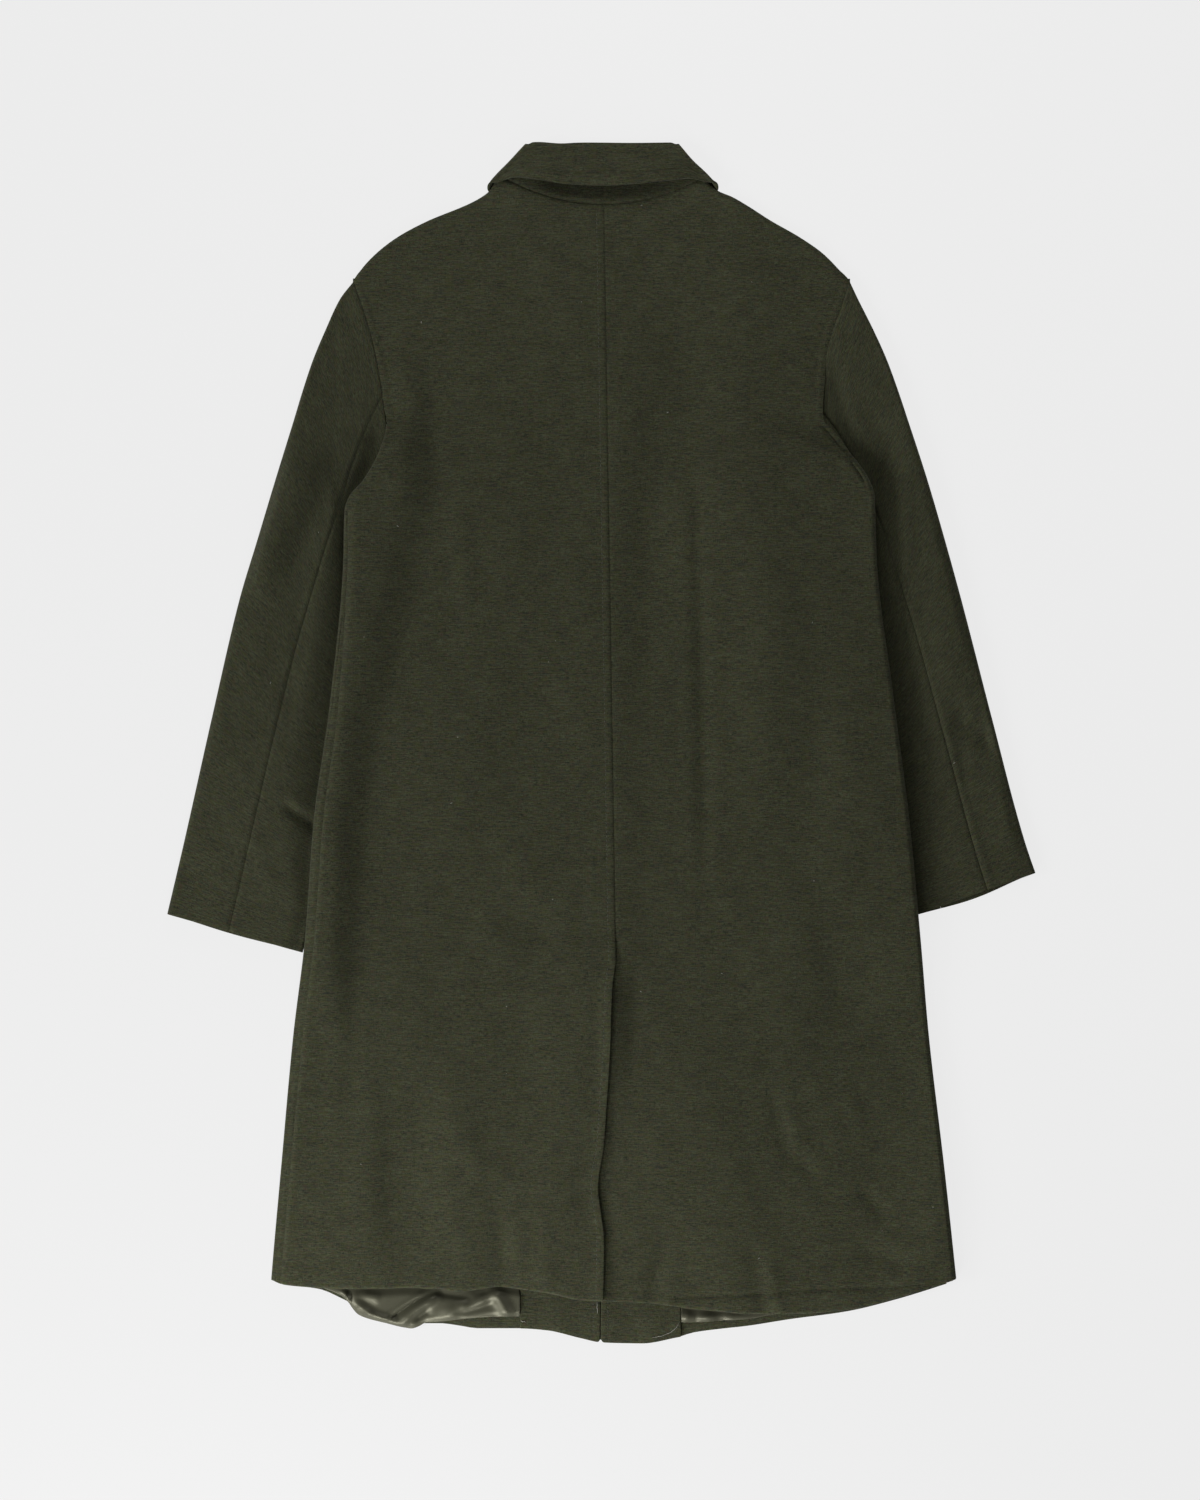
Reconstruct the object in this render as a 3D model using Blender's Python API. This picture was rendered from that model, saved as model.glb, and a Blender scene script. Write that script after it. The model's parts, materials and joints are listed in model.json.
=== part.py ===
"""Overcoat of heavy wool, laid flat on its front with the back up.

Lengths in the tables are millimetres. +X is the right of the laid coat as seen from above,
+Y points from the hem to the collar, +Z is up, and the coat rests on Z = 0.
Every piece of cloth is a sheet of points through its middle, thickened to both sides.
"""
import math
from collections import namedtuple

import bmesh
import bpy
from mathutils import Vector

MM = 0.001

# Cloth thicknesses and the gaps between pieces
WOOL = 2.0
FACING_CLOTH = 1.8
LINING_CLOTH = 1.2
SEAM_GAP = 0.3
LAYER_GAP = 0.3
ARMHOLE_GAP = 0.6
LIFT_SLACK = 0.3
VENT_SLACK = 0.4
FALL_SLACK = 0.5

# Heights of the middle of each layer above the floor
FLOOR_LAYER = WOOL / 2
BACK_OVER_FRONT = 4.6
SLEEVE_LOFT = 5.2
SLEEVE_TOP = FLOOR_LAYER + SLEEVE_LOFT
BODY_LIFT = SLEEVE_TOP + WOOL / 2 + LAYER_GAP + LIFT_SLACK
BACK_PUFF = 3.0
SLEEVE_PUFF = 1.2

# Centre back, vent and front edges
CENTRE_BACK = 2.0
CENTRE_BACK_LEAN = 12.0
NECK_Y = 537.0
NECK_RISE = 22.0
NECK_HALF = 90.0
NECK_SHARES = (0.0, 0.17, 0.34, 0.51, 0.68, 0.83, 0.93)
BACK_TOP_Y = NECK_Y + NECK_RISE * NECK_SHARES[-1] ** 2
VENT_TOP_Y = -218.0
UNDERLAP_Y = -232.0
UNDERLAP = 38.0
UNDERLAP_SHARES = (1.0, 0.5)
VENT_LIFT = WOOL + LAYER_GAP + VENT_SLACK
VENT_SLANT = 11.0
VENT_LEAD = 40.0
VENT_RUN = 50.0
VENT_COVER = 100.0
FRONT_EDGE_LEFT = -3.0
FRONT_EDGE_RIGHT = -0.5
FRONT_TOP_Y = 450.0
FRONT_NECK_GAP = 8.0
LEAF_CLEARANCE = 2.0

# Levels where the side of the body begins to lie over the sleeve
UNDERARM_Y = 263.0
UNDERARM_STEP = 1.0
SIDE_WRAP_Y = 231.0
CHEST_Y = 321.0
ARMHOLE_RISE_Y = 362.0
ARMHOLE_RISE_RUN = 30.0
ARMHOLE_RISE = 0.5
HEM_ROW_Y = -545.0
HEM_BLEND_Y = -400.0

# Sides of the body
RAMP_START = 20.0
RAMP_END = 3.0
RAMP_SHARE = 0.6
BACK_RAMP_START = 38.0
LIFT_TAIL = 115.0
LIFT_FADE = 75.0
SIDE_INSET = 34.0
SIDE_MARGIN = 10.0
SIDE_SHARE = 0.45
STRIP_TOP = 4.0
STRIP_HEM = 10.0
STRIP_RUN = 240.0
UNDER_WRAP = 9.0
SHOULDER_INSET = 4.0
EDGE_ROLL = 6.0
ROLL_LEAD = 6.0
ROLL_RUN = 12.0
ROLL_END_RUN = 10.0
SHOULDER_DROP = 1.9
FOLD_DROP = 0.9
CALM_EDGE = 60.0
CALM_NECK = 90.0
FOLD_TAPER = 0.2

# Facings and lining
FACING_WIDTH = 80.0
FACING_TOP_GAP = 10.0
LINING_TOP_Y = -215.0
LINING_SIDE = 52.0
LINING_WAVE = 2.2
LINING_WAVE_PITCH = 31.0
LINING_LOOSE = 25.0

# Collar
COLLAR_TOP_Y = 599.6
FALL_MIDDLE = FLOOR_LAYER + BACK_OVER_FRONT + WOOL + FALL_SLACK
STAND_TOP_Y = 594.5
STAND_TAPER = 0.78
FALL_ROLL = 2.4
FALL_ROLL_SHARE = 0.12
FALL_SIDE_START = 0.40
FALL_SIDE_RUN = 0.1

BackSection = namedtuple("BackSection", "y left right")
ArmholePoint = namedtuple("ArmholePoint", "y left right")
SleeveSection = namedtuple("SleeveSection", "y left right")
HemSection = namedtuple("HemSection", "x back front")
Fold = namedtuple("Fold", "x_start y_start x_end y_end width height")
CollarSection = namedtuple("CollarSection", "across left_x left_y right_x right_y")

# Edge of the back as seen from above: shoulder, armhole, diagonal fold, then the side
BACK_SECTIONS = (
    BackSection(559, -86.0, 88.0),
    BackSection(551, -103.0, 107.0),
    BackSection(546, -117.0, 129.5),
    BackSection(537, -134.5, 144.5),
    BackSection(521, -173.5, 169.5),
    BackSection(505, -203.5, 197.5),
    BackSection(489, -224.5, 220.5),
    BackSection(473, -239.5, 236.5),
    BackSection(460, -247.5, 247.5),
    BackSection(439, -240.5, 241.5),
    BackSection(410, -231.5, 231.0),
    BackSection(384, -225.5, 224.5),
    BackSection(362, -221.5, 223.0),
    BackSection(335, -217.5, 221.0),
    BackSection(323, -215.0, 219.3),
    BackSection(316, -215.0, 222.0),
    BackSection(292, -221.5, 238.0),
    BackSection(262, -237.5, 261.0),
    BackSection(245, -252.0, 272.5),
    BackSection(231, -256.5, 273.0),
    BackSection(183, -257.5, 274.5),
    BackSection(43, -270.5, 291.5),
    BackSection(-77, -287.0, 307.0),
    BackSection(-197, -296.0, 318.5),
    BackSection(-297, -308.5, 327.5),
    BackSection(-417, -319.5, 341.5),
    BackSection(-537, -329.5, 353.5),
    BackSection(-575, -332.0, 357.0),
)

# Armhole seam from the shoulder point to the underarm
ARMHOLE = (
    ArmholePoint(460, -247.5, 247.5),
    ArmholePoint(439, -240.5, 241.5),
    ArmholePoint(410, -231.5, 231.0),
    ArmholePoint(384, -225.5, 224.5),
    ArmholePoint(362, -221.5, 223.0),
    ArmholePoint(335, -217.5, 221.0),
    ArmholePoint(321, -214.5, 219.0),
    ArmholePoint(296, -203.5, 206.0),
    ArmholePoint(275, -187.5, 185.0),
    ArmholePoint(263, -165.5, 158.5),
)

# Outer fold of the sleeves
SLEEVE_SECTIONS = (
    SleeveSection(460, -247.5, 247.5),
    SleeveSection(443, -262.5, 255.5),
    SleeveSection(413, -277.5, 270.5),
    SleeveSection(383, -290.5, 284.5),
    SleeveSection(353, -300.5, 295.5),
    SleeveSection(323, -309.5, 305.5),
    SleeveSection(263, -327.5, 325.5),
    SleeveSection(203, -344.5, 342.5),
    SleeveSection(143, -360.5, 358.5),
    SleeveSection(23, -388.5, 389.5),
    SleeveSection(-97, -415.5, 421.5),
    SleeveSection(-171, -432.8, 447.6),
)

# Per side: cuff corners, where the back seam leaves the armhole, and where it runs below
Cuff = namedtuple("Cuff", "outer_x outer_y inner_x inner_y seam_top seam_low seam_fade")
CUFFS = {
    "left": Cuff(-432.8, -171.0, -299.5, -209.0, 0.53, 0.455, 4),
    "right": Cuff(433.2, -130.0, 302.5, -176.0, 0.58, 0.36, 5),
}
FRONT_SEAM = 0.72
SLEEVE_LENGTH = 640.0
SLEEVE_BLEND = 60.0
SLEEVE_RIM = 25.0
SLEEVE_COVER = 0.52
SLEEVE_COVER_RUN = 0.2

# Lower edges of the back and of the fronts, from the left side to the right
HEM = (
    HemSection(-332, -535, -535),
    HemSection(-316, -541, -541),
    HemSection(-281, -544, -547),
    HemSection(-250, -545, -561),
    HemSection(-233, -545, -572),
    HemSection(-217, -545, -578),
    HemSection(-180, -544, -581),
    HemSection(-144, -548, -582),
    HemSection(-102, -544, -584),
    HemSection(-54, -549, -587),
    HemSection(-20, -556, -594),
    HemSection(0, -557, -599),
    HemSection(40, -559, -600),
    HemSection(76, -563, -594),
    HemSection(124, -568, -585),
    HemSection(143, -570, -583),
    HemSection(188, -570, -576),
    HemSection(246, -566, -568),
    HemSection(295, -554, -556),
    HemSection(356, -535, -537),
)

# Soft ridges and troughs of the back
BACK_FOLDS = (
    Fold(-176, 343, -171, 143, 42, -2.6),
    Fold(-190, 100, -236, -150, 34, -2.2),
    Fold(-112, 300, -128, -100, 55, 2.4),
    Fold(-80, -150, -58, -235, 26, -2.0),
    Fold(-105, -452, -98, -535, 20, -1.8),
    Fold(-190, -330, -200, -520, 44, 2.0),
    Fold(29, 443, 33, 190, 18, -1.8),
    Fold(84, 243, 104, -117, 17, -2.0),
    Fold(140, 300, 150, -60, 40, 2.2),
    Fold(193, 43, 197, -107, 30, -2.2),
    Fold(30, -247, 24, -390, 10, 2.2),
    Fold(50, -457, 58, -545, 15, -1.8),
    Fold(170, -357, 188, -427, 18, -1.8),
    Fold(168, -480, 173, -560, 18, -2.0),
    Fold(258, -430, 263, -505, 22, -2.0),
    Fold(110, -300, 118, -520, 36, 2.0),
)

# Soft ridges and troughs of the sleeves
SLEEVE_FOLDS = (
    Fold(-326, -58, -286, -82, 9, -1.6),
    Fold(-318, 260, -352, 60, 22, 1.4),
    Fold(-372, 20, -402, -120, 18, 1.2),
    Fold(330, 230, 352, 60, 20, 1.4),
    Fold(392, 0, 356, 24, 12, -1.2),
    Fold(398, -20, 412, -110, 16, 1.2),
)

# Silhouette of the turned collar, from its roll line (0) to its outer edge (1)
COLLAR_SECTIONS = (
    CollarSection(0.0, -77.0, 596.5, 78.0, 596.5),
    CollarSection(0.35, -92.5, 580.0, 91.5, 581.5),
    CollarSection(0.7, -105.5, 566.0, 105.5, 568.0),
    CollarSection(1.0, -113.5, 553.0, 117.0, 552.0),
)
COLLAR_POINT = (-62.0, 453.0)
COLLAR_FRONT = (-6.0, 505.0)
COLLAR_EDGE_Y = 556.0
COLLAR_EDGE_RISE = 8.0
COLLAR_EDGE_HALF = 100.0
COLLAR_EDGE_POWER = 1.5

# Grid sizes
PANEL_STEP = 46.0
LEAST_STEP = 2.0
BACK_COLUMNS = 8
SIDE_COLUMNS = 6
FRONT_COLUMNS = 2
RAMP_COLUMNS = 4
WRAP_COLUMNS = 5
FACING_COLUMNS = 4
FACING_ROWS = 4
FACING_HEM_ROWS = 3
LINING_COLUMNS = 14
LINING_ROWS = 3
LINING_HEM_ROWS = 6
SLEEVE_ROWS = 14
FOLD_TURNS = (0.0, 0.55, 1.05, math.pi / 2)
FALL_COLUMNS = (0.0, 0.05, 0.12, 0.3, 0.55, 0.8, 1.0)
FALL_TURNS = (0.9, 0.45, 0.0, -0.45, -0.9)
TOP_SPANS = 12
LEAF_SPANS = 4
STAND_ROWS = 6

# Finishes
SHARP_ANGLE = 50.0
WOOL_COLOUR = (0.032, 0.032, 0.021)
WOOL_ROUGHNESS = 0.92
SATIN_COLOUR = (0.102, 0.102, 0.065)
SATIN_ROUGHNESS = 0.38


def smoothstep(value):
    """Ease from 0 to 1."""
    value = min(1.0, max(0.0, value))
    return value * value * (3.0 - 2.0 * value)


def mix(first, second, share):
    """Go from the first value to the second."""
    return first + (second - first) * share


def read_table(rows, key, column, at):
    """Read a column at a key between the rows, smoothly and with no overshoot."""
    rows = sorted(rows, key=lambda row: getattr(row, key))
    keys = [getattr(row, key) for row in rows]
    values = [getattr(row, column) for row in rows]
    at = min(keys[-1], max(keys[0], at))
    steps = [(values[i + 1] - values[i]) / (keys[i + 1] - keys[i]) for i in range(len(keys) - 1)]
    index = max(i for i in range(len(steps)) if keys[i] <= at)

    def slope(i):
        before = steps[max(0, i - 1)]
        after = steps[min(len(steps) - 1, i)]
        if before * after <= 0.0:
            return 0.0
        return 2.0 * before * after / (before + after)

    span = keys[index + 1] - keys[index]
    t = (at - keys[index]) / span
    return (
        values[index] * (1 + 2 * t) * (1 - t) ** 2
        + span * slope(index) * t * (1 - t) ** 2
        + values[index + 1] * t * t * (3 - 2 * t)
        + span * slope(index + 1) * t * t * (t - 1)
    )


def fold_height(folds, x, y):
    """Add up the soft ridges and troughs at a place."""
    total = 0.0
    for fold in folds:
        along = Vector((fold.x_end - fold.x_start, fold.y_end - fold.y_start))
        offset = Vector((x - fold.x_start, y - fold.y_start))
        share = offset.dot(along) / along.length_squared
        start = smoothstep((share + FOLD_TAPER) / (2 * FOLD_TAPER))
        end = smoothstep((1.0 + FOLD_TAPER - share) / (2 * FOLD_TAPER))
        off_line = (offset - along * share).length / fold.width
        total += fold.height * start * end * math.exp(-off_line * off_line)
    return total


def outer_sign(side):
    """Tell which way is outwards."""
    return -1.0 if side == "left" else 1.0


def body_edge(side, y):
    """Outermost line of the body as seen from above."""
    return read_table(BACK_SECTIONS, "y", side, y)


def sleeve_inner(side, y):
    """Innermost line of the sleeve under the body: armhole, then the inner fold."""
    for above, below in zip(ARMHOLE, ARMHOLE[1:]):
        if y >= below.y:
            share = min(1.0, (above.y - y) / (above.y - below.y))
            return mix(getattr(above, side), getattr(below, side), max(0.0, share))
    cuff = CUFFS[side]
    start = ARMHOLE[-1]
    share = (UNDERARM_Y - y) / (UNDERARM_Y - cuff.inner_y)
    return mix(getattr(start, side), cuff.inner_x, min(1.0, share))


def lift_share(side, y):
    """How far the body is raised by the sleeve: none at the armhole and below the cuff."""
    cuff_y = CUFFS[side].inner_y
    return smoothstep((y - cuff_y + LIFT_TAIL) / LIFT_FADE)


def front_height(side, x, y):
    """Middle of the front panel, on the floor or over the sleeve."""
    inward = (sleeve_inner(side, y) - x) * outer_sign(side)
    ramp = smoothstep((RAMP_START - inward) / (RAMP_START - RAMP_END))
    return FLOOR_LAYER + BODY_LIFT * ramp * lift_share(side, y)


def back_height(side, x, y):
    """Middle of the back panel, over the front and its folds."""
    inward = (sleeve_inner(side, y) - x) * outer_sign(side)
    ramp = smoothstep((BACK_RAMP_START - inward) / (BACK_RAMP_START - RAMP_END))
    rise = mix(
        smoothstep((ARMHOLE_RISE_Y - y) / ARMHOLE_RISE_RUN) * ARMHOLE_RISE,
        1.0,
        smoothstep((CHEST_Y - y) / (CHEST_Y - UNDERARM_Y)),
    )
    lift = BODY_LIFT * ramp * rise * lift_share(side, y)
    from_edge = abs(x - body_edge(side, y))
    from_neck = NECK_Y - y + NECK_RISE
    calm = smoothstep(from_edge / CALM_EDGE) * smoothstep(from_neck / CALM_NECK)
    folds = max(-BACK_PUFF, fold_height(BACK_FOLDS, x, y))
    return FLOOR_LAYER + BACK_OVER_FRONT + lift + (BACK_PUFF + folds) * calm


def centre_back(y):
    """Centre back seam, which leans a little to the right on its way down."""
    share = (NECK_Y - y) / (NECK_Y - VENT_TOP_Y)
    return CENTRE_BACK + CENTRE_BACK_LEAN * min(1.0, max(0.0, share))


def vent_edge(y):
    """Free edge of the left panel below the top of the vent."""
    share = (VENT_TOP_Y - y) / (VENT_TOP_Y - HEM_ROW_Y)
    return centre_back(y) - VENT_SLANT * smoothstep(share)


def neck_offset(y):
    """Half width of the neck seam at a level."""
    return NECK_HALF * math.sqrt(max(0.0, y - NECK_Y) / NECK_RISE)


def hem_level(y, x, column):
    """Move the lowest rows onto the hem."""
    if y >= HEM_BLEND_Y:
        return y
    hem = read_table(HEM, "x", column, x)
    return HEM_BLEND_Y + (y - HEM_BLEND_Y) * (hem - HEM_BLEND_Y) / (HEM_ROW_Y - HEM_BLEND_Y)


def panel_levels(top):
    """Levels of a body panel: the table's own rows, then even steps down to the hem."""
    levels = [top]
    levels += [row.y for row in BACK_SECTIONS if SIDE_WRAP_Y <= row.y < top - LEAST_STEP]
    levels += [NECK_Y + NECK_RISE * share ** 2 for share in NECK_SHARES if top == BACK_TOP_Y]
    levels += [VENT_TOP_Y, UNDERLAP_Y]
    y = SIDE_WRAP_Y - PANEL_STEP / 2
    while y > HEM_ROW_Y + PANEL_STEP / 2:
        levels.append(y)
        y -= PANEL_STEP
    levels.append(HEM_ROW_Y)
    return sorted(set(levels), reverse=True)


def cloth(name, rows, thickness, finish):
    """Thicken a grid of middle points, with None where there is no cloth, to a closed solid."""
    points = {}
    for i, row in enumerate(rows):
        for j, point in enumerate(row):
            if point is not None:
                points[i, j] = Vector(point)
    corners = ((0, 0), (0, 1), (1, 1), (1, 0))
    cells = [
        (i, j) for i, j in points
        if all((i + di, j + dj) in points for di, dj in corners)
    ]
    mesh_edit = bmesh.new()
    sides = {}
    for i, j in points:
        here = points[i, j]
        along = points.get((i, j + 1), here) - points.get((i, j - 1), here)
        down = points.get((i + 1, j), here) - points.get((i - 1, j), here)
        out = down.cross(along).normalized() * thickness / 2
        sides[i, j] = (
            mesh_edit.verts.new((here + out) * MM),
            mesh_edit.verts.new((here - out) * MM),
        )
    rim = set()
    for i, j in cells:
        loop = [(i + di, j + dj) for di, dj in corners]
        mesh_edit.faces.new([sides[key][0] for key in loop])
        mesh_edit.faces.new([sides[key][1] for key in reversed(loop)])
        for start, end in zip(loop, loop[1:] + loop[:1]):
            if (end, start) in rim:
                rim.remove((end, start))
            else:
                rim.add((start, end))
    for start, end in sorted(rim):
        mesh_edit.faces.new((sides[start][1], sides[end][1], sides[end][0], sides[start][0]))
    loose = [vert for vert in mesh_edit.verts if not vert.link_faces]
    bmesh.ops.delete(mesh_edit, geom=loose, context="VERTS")
    bmesh.ops.recalc_face_normals(mesh_edit, faces=mesh_edit.faces)
    bmesh.ops.triangulate(mesh_edit, faces=mesh_edit.faces)
    mesh = bpy.data.meshes.new(name)
    mesh_edit.to_mesh(mesh)
    mesh_edit.free()
    mesh.shade_smooth()
    mesh.set_sharp_from_angle(angle=math.radians(SHARP_ANGLE))
    mesh.materials.append(finish)
    piece = bpy.data.objects.new(name, mesh)
    bpy.context.scene.collection.objects.link(piece)
    return piece


def make_finish(name, colour, roughness):
    """A plain cloth finish."""
    finish = bpy.data.materials.new(name)
    finish.use_nodes = True
    shader = finish.node_tree.nodes["Principled BSDF"]
    shader.inputs["Base Color"].default_value = (*colour, 1.0)
    shader.inputs["Roughness"].default_value = roughness
    shader.inputs["Metallic"].default_value = 0.0
    return finish


def spread(start, end, count):
    """Even places from the start to the end, both included."""
    return [mix(start, end, i / count) for i in range(count + 1)]


def back_inner(side, y):
    """Inner edge of a back panel: neck seam, centre seam, then the vent."""
    if y > NECK_Y:
        return centre_back(y) + outer_sign(side) * (neck_offset(y) + SEAM_GAP / 2)
    if side == "left" and y < VENT_TOP_Y:
        return vent_edge(y)
    return centre_back(y) + outer_sign(side) * SEAM_GAP / 2


def vent_rise(x, y):
    """The left panel is raised where it covers the underlap."""
    down = smoothstep((VENT_TOP_Y + VENT_LEAD - y) / VENT_RUN)
    return VENT_LIFT * down * smoothstep((x - centre_back(y) + VENT_COVER) / VENT_RUN)


def back_edge(side, y):
    """Where the back panel's own cloth ends on the upper side."""
    edge = body_edge(side, y)
    inwards = -outer_sign(side)
    if y > SIDE_WRAP_Y:
        return edge + inwards * ARMHOLE_GAP / 2
    if side == "left":
        return edge + inwards * (side_strip(y) + SEAM_GAP)
    return edge + inwards * BACK_OVER_FRONT / 2


def side_strip(y):
    """Width of the left front's strip that comes round to the upper side."""
    return mix(STRIP_TOP, STRIP_HEM, smoothstep((SIDE_WRAP_Y - y) / STRIP_RUN))


def rolled_edge(side, x, y):
    """Drop of the back's rim along the shoulder and the diagonal fold."""
    near = 1.0 - smoothstep(abs(x - body_edge(side, y)) / EDGE_ROLL)
    shoulder = smoothstep((y - ARMHOLE[0].y + ROLL_LEAD) / ROLL_RUN)
    fold = smoothstep((CHEST_Y - ROLL_LEAD - y) / ROLL_RUN)
    fold *= smoothstep((y - SIDE_WRAP_Y) / ROLL_END_RUN)
    return near * (SHOULDER_DROP * shoulder + FOLD_DROP * fold)


def side_roll(edge, side, low, high, y, column):
    """Half round of cloth over the side, from the upper layer to the lower one."""
    middle = (low + high) / 2
    radius = (high - low) / 2
    turns = [math.pi * (0.5 - i / (WRAP_COLUMNS - 1)) for i in range(WRAP_COLUMNS)]
    centre = edge - outer_sign(side) * (radius + WOOL / 2)
    points = []
    for turn in turns:
        x = centre + outer_sign(side) * radius * math.cos(turn)
        points.append((x, hem_level(y, x, column), middle + radius * math.sin(turn)))
    return points


def make_back(side, finish):
    """Back panel with its folds; the right one has the underlap and turns under at the side."""
    rows = []
    for y in panel_levels(BACK_TOP_Y):
        inner = back_inner(side, y)
        outer = back_edge(side, y)
        zone = side_zone(side, y, abs(outer - inner))
        bend = outer - outer_sign(side) * zone
        places = spread(inner, bend, BACK_COLUMNS)
        places += spread(bend, outer, SIDE_COLUMNS)[1:]
        row = []
        for x in places:
            z = back_height(side, x, y) - rolled_edge(side, x, y)
            if side == "left":
                z += vent_rise(x, y)
            row.append((x, hem_level(y, x, "back"), z))
        if side == "right":
            row = underlap_points(y, inner) + row + under_wrap_points(y)
        rows.append(row)
    cloth("back_" + side, rows, WOOL, finish)


def side_zone(side, y, width):
    """Width of the outer part of a panel, which lies over the sleeve."""
    reach = abs(body_edge(side, y) - sleeve_inner(side, y)) + BACK_RAMP_START
    return min(reach + SIDE_MARGIN, SIDE_SHARE * width)


def underlap_points(y, inner):
    """Extension of the right back panel under the vent."""
    if y > UNDERLAP_Y:
        return [None] * len(UNDERLAP_SHARES)
    points = []
    for share in UNDERLAP_SHARES:
        x = inner - UNDERLAP * share
        points.append((x, hem_level(y, x, "back"), back_height("right", inner, y)))
    return points


def under_wrap_points(y):
    """The right back panel turns round the side and ends below it."""
    if y > SIDE_WRAP_Y:
        return [None] * WRAP_COLUMNS
    edge = body_edge("right", y)
    low = front_height("right", edge, y)
    points = side_roll(edge, "right", low, low + BACK_OVER_FRONT, y, "back")[1:]
    x = edge - UNDER_WRAP
    points.append((x, hem_level(y, x, "back"), low))
    return points


def front_outer(side, y):
    """Outer edge of the part of a front that lies on the floor."""
    inwards = -outer_sign(side)
    if y > ARMHOLE[0].y:
        return body_edge(side, y) + inwards * SHOULDER_INSET
    if y >= UNDERARM_Y:
        return sleeve_inner(side, y) + inwards * ARMHOLE_GAP
    line = sleeve_inner(side, y) + inwards * RAMP_START
    inset = body_edge(side, y) + inwards * SIDE_INSET
    return min(line, inset, key=abs)


def front_inner(side, y):
    """Inner edge of a front: front edge, then the outer edge of the collar's leaf."""
    if y <= FRONT_TOP_Y:
        return FRONT_EDGE_LEFT if side == "left" else FRONT_EDGE_RIGHT
    edge = COLLAR_SECTIONS[-1]
    edge_x = edge.left_x if side == "left" else edge.right_x
    share = (y - COLLAR_POINT[1]) / (edge.left_y - COLLAR_POINT[1])
    point_x = COLLAR_POINT[0] * -outer_sign(side)
    return mix(point_x, edge_x, max(0.0, share)) + outer_sign(side) * LEAF_CLEARANCE


def front_side_points(side, y):
    """The front's cloth from the floor, over the sleeve, to the side of the body."""
    if y >= UNDERARM_Y:
        return [None] * (2 * RAMP_COLUMNS)
    start = front_outer(side, y)
    reach = WOOL / 2 + BACK_OVER_FRONT / 2 if side == "left" else UNDER_WRAP + SEAM_GAP
    end = body_edge(side, y) - outer_sign(side) * reach
    ramp = min(RAMP_START - RAMP_END, RAMP_SHARE * abs(end - start)) * outer_sign(side)
    places = spread(start, start + ramp, RAMP_COLUMNS)[1:] + spread(start + ramp, end, RAMP_COLUMNS)[1:]
    return [(x, hem_level(y, x, "front"), front_height(side, x, y)) for x in places]


def strip_points(y):
    """The left front turns round the side and ends at the side seam on the upper side."""
    if y > SIDE_WRAP_Y:
        return [None] * WRAP_COLUMNS
    edge = body_edge("left", y)
    low = front_height("left", edge, y)
    points = side_roll(edge, "left", low, low + BACK_OVER_FRONT, y, "back")[::-1][1:]
    x = edge + side_strip(y)
    points.append((x, hem_level(y, x, "back"), back_height("left", x, y)))
    return points


def make_front(side, finish):
    """Front panel, flat on the floor and over the sleeve at its side."""
    top = COLLAR_SECTIONS[-1].left_y - FRONT_NECK_GAP
    levels = panel_levels(top) + [FRONT_TOP_Y, COLLAR_POINT[1], UNDERARM_Y - UNDERARM_STEP]
    levels += [row.y for row in ARMHOLE]
    rows = []
    for y in sorted(set(levels), reverse=True):
        places = spread(front_inner(side, y), front_outer(side, y), FRONT_COLUMNS)
        row = [(x, hem_level(y, x, "front"), FLOOR_LAYER) for x in places]
        row += front_side_points(side, y)
        if side == "left":
            row += strip_points(y)
        rows.append(row)
    cloth("front_" + side, rows, WOOL, finish)


def make_facing(side, finish):
    """Straight cloth facing inside the front edge."""
    start = FRONT_EDGE_LEFT if side == "left" else FRONT_EDGE_RIGHT
    middle = WOOL + LAYER_GAP + FACING_CLOTH / 2
    levels = spread(FRONT_TOP_Y - FACING_TOP_GAP, HEM_BLEND_Y, FACING_ROWS)
    levels += spread(HEM_BLEND_Y, HEM_ROW_Y, FACING_HEM_ROWS)[1:]
    rows = []
    for y in levels:
        places = spread(start, start + outer_sign(side) * FACING_WIDTH, FACING_COLUMNS)
        rows.append([(x, hem_level(y, x, "front"), middle) for x in places])
    cloth("facing_" + side, rows, FACING_CLOTH, finish)


def make_lining(side, finish):
    """Skirt lining of a front, loose and wavy where it comes out below the back."""
    start = FRONT_EDGE_LEFT if side == "left" else FRONT_EDGE_RIGHT
    start += outer_sign(side) * (FACING_WIDTH + SEAM_GAP)
    middle = WOOL + LAYER_GAP + LINING_CLOTH / 2
    levels = spread(LINING_TOP_Y, HEM_BLEND_Y, LINING_ROWS)
    levels += spread(HEM_BLEND_Y, HEM_ROW_Y, LINING_HEM_ROWS)[1:]
    rows = []
    for y in levels:
        end = body_edge(side, y) - outer_sign(side) * LINING_SIDE
        row = []
        for x in spread(start, end, LINING_COLUMNS):
            level = hem_level(y, x, "front")
            past_back = read_table(HEM, "x", "back", x) - level
            wave = 0.5 + 0.5 * math.sin(x / LINING_WAVE_PITCH * math.tau)
            row.append((x, level, middle + LINING_WAVE * wave * smoothstep(past_back / LINING_LOOSE)))
        rows.append(row)
    cloth("lining_" + side, rows, LINING_CLOTH, finish)


def armhole_lengths(side):
    """Points of the armhole seam and the lengths between them."""
    knots = [Vector((getattr(row, side), row.y)) for row in ARMHOLE]
    return knots, [(end - start).length for start, end in zip(knots, knots[1:])]


def armhole_shares(side):
    """Share of the seam's length at each of its points, without the ends."""
    lengths = armhole_lengths(side)[1]
    return [sum(lengths[:i]) / sum(lengths) for i in range(1, len(lengths))]


def armhole_point(side, share):
    """Place on the armhole seam by its share of the seam's length."""
    knots, lengths = armhole_lengths(side)
    goal = share * sum(lengths)
    for start, end, length in zip(knots, knots[1:], lengths):
        if goal <= length:
            return start.lerp(end, goal / length)
        goal -= length
    return knots[-1]


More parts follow.
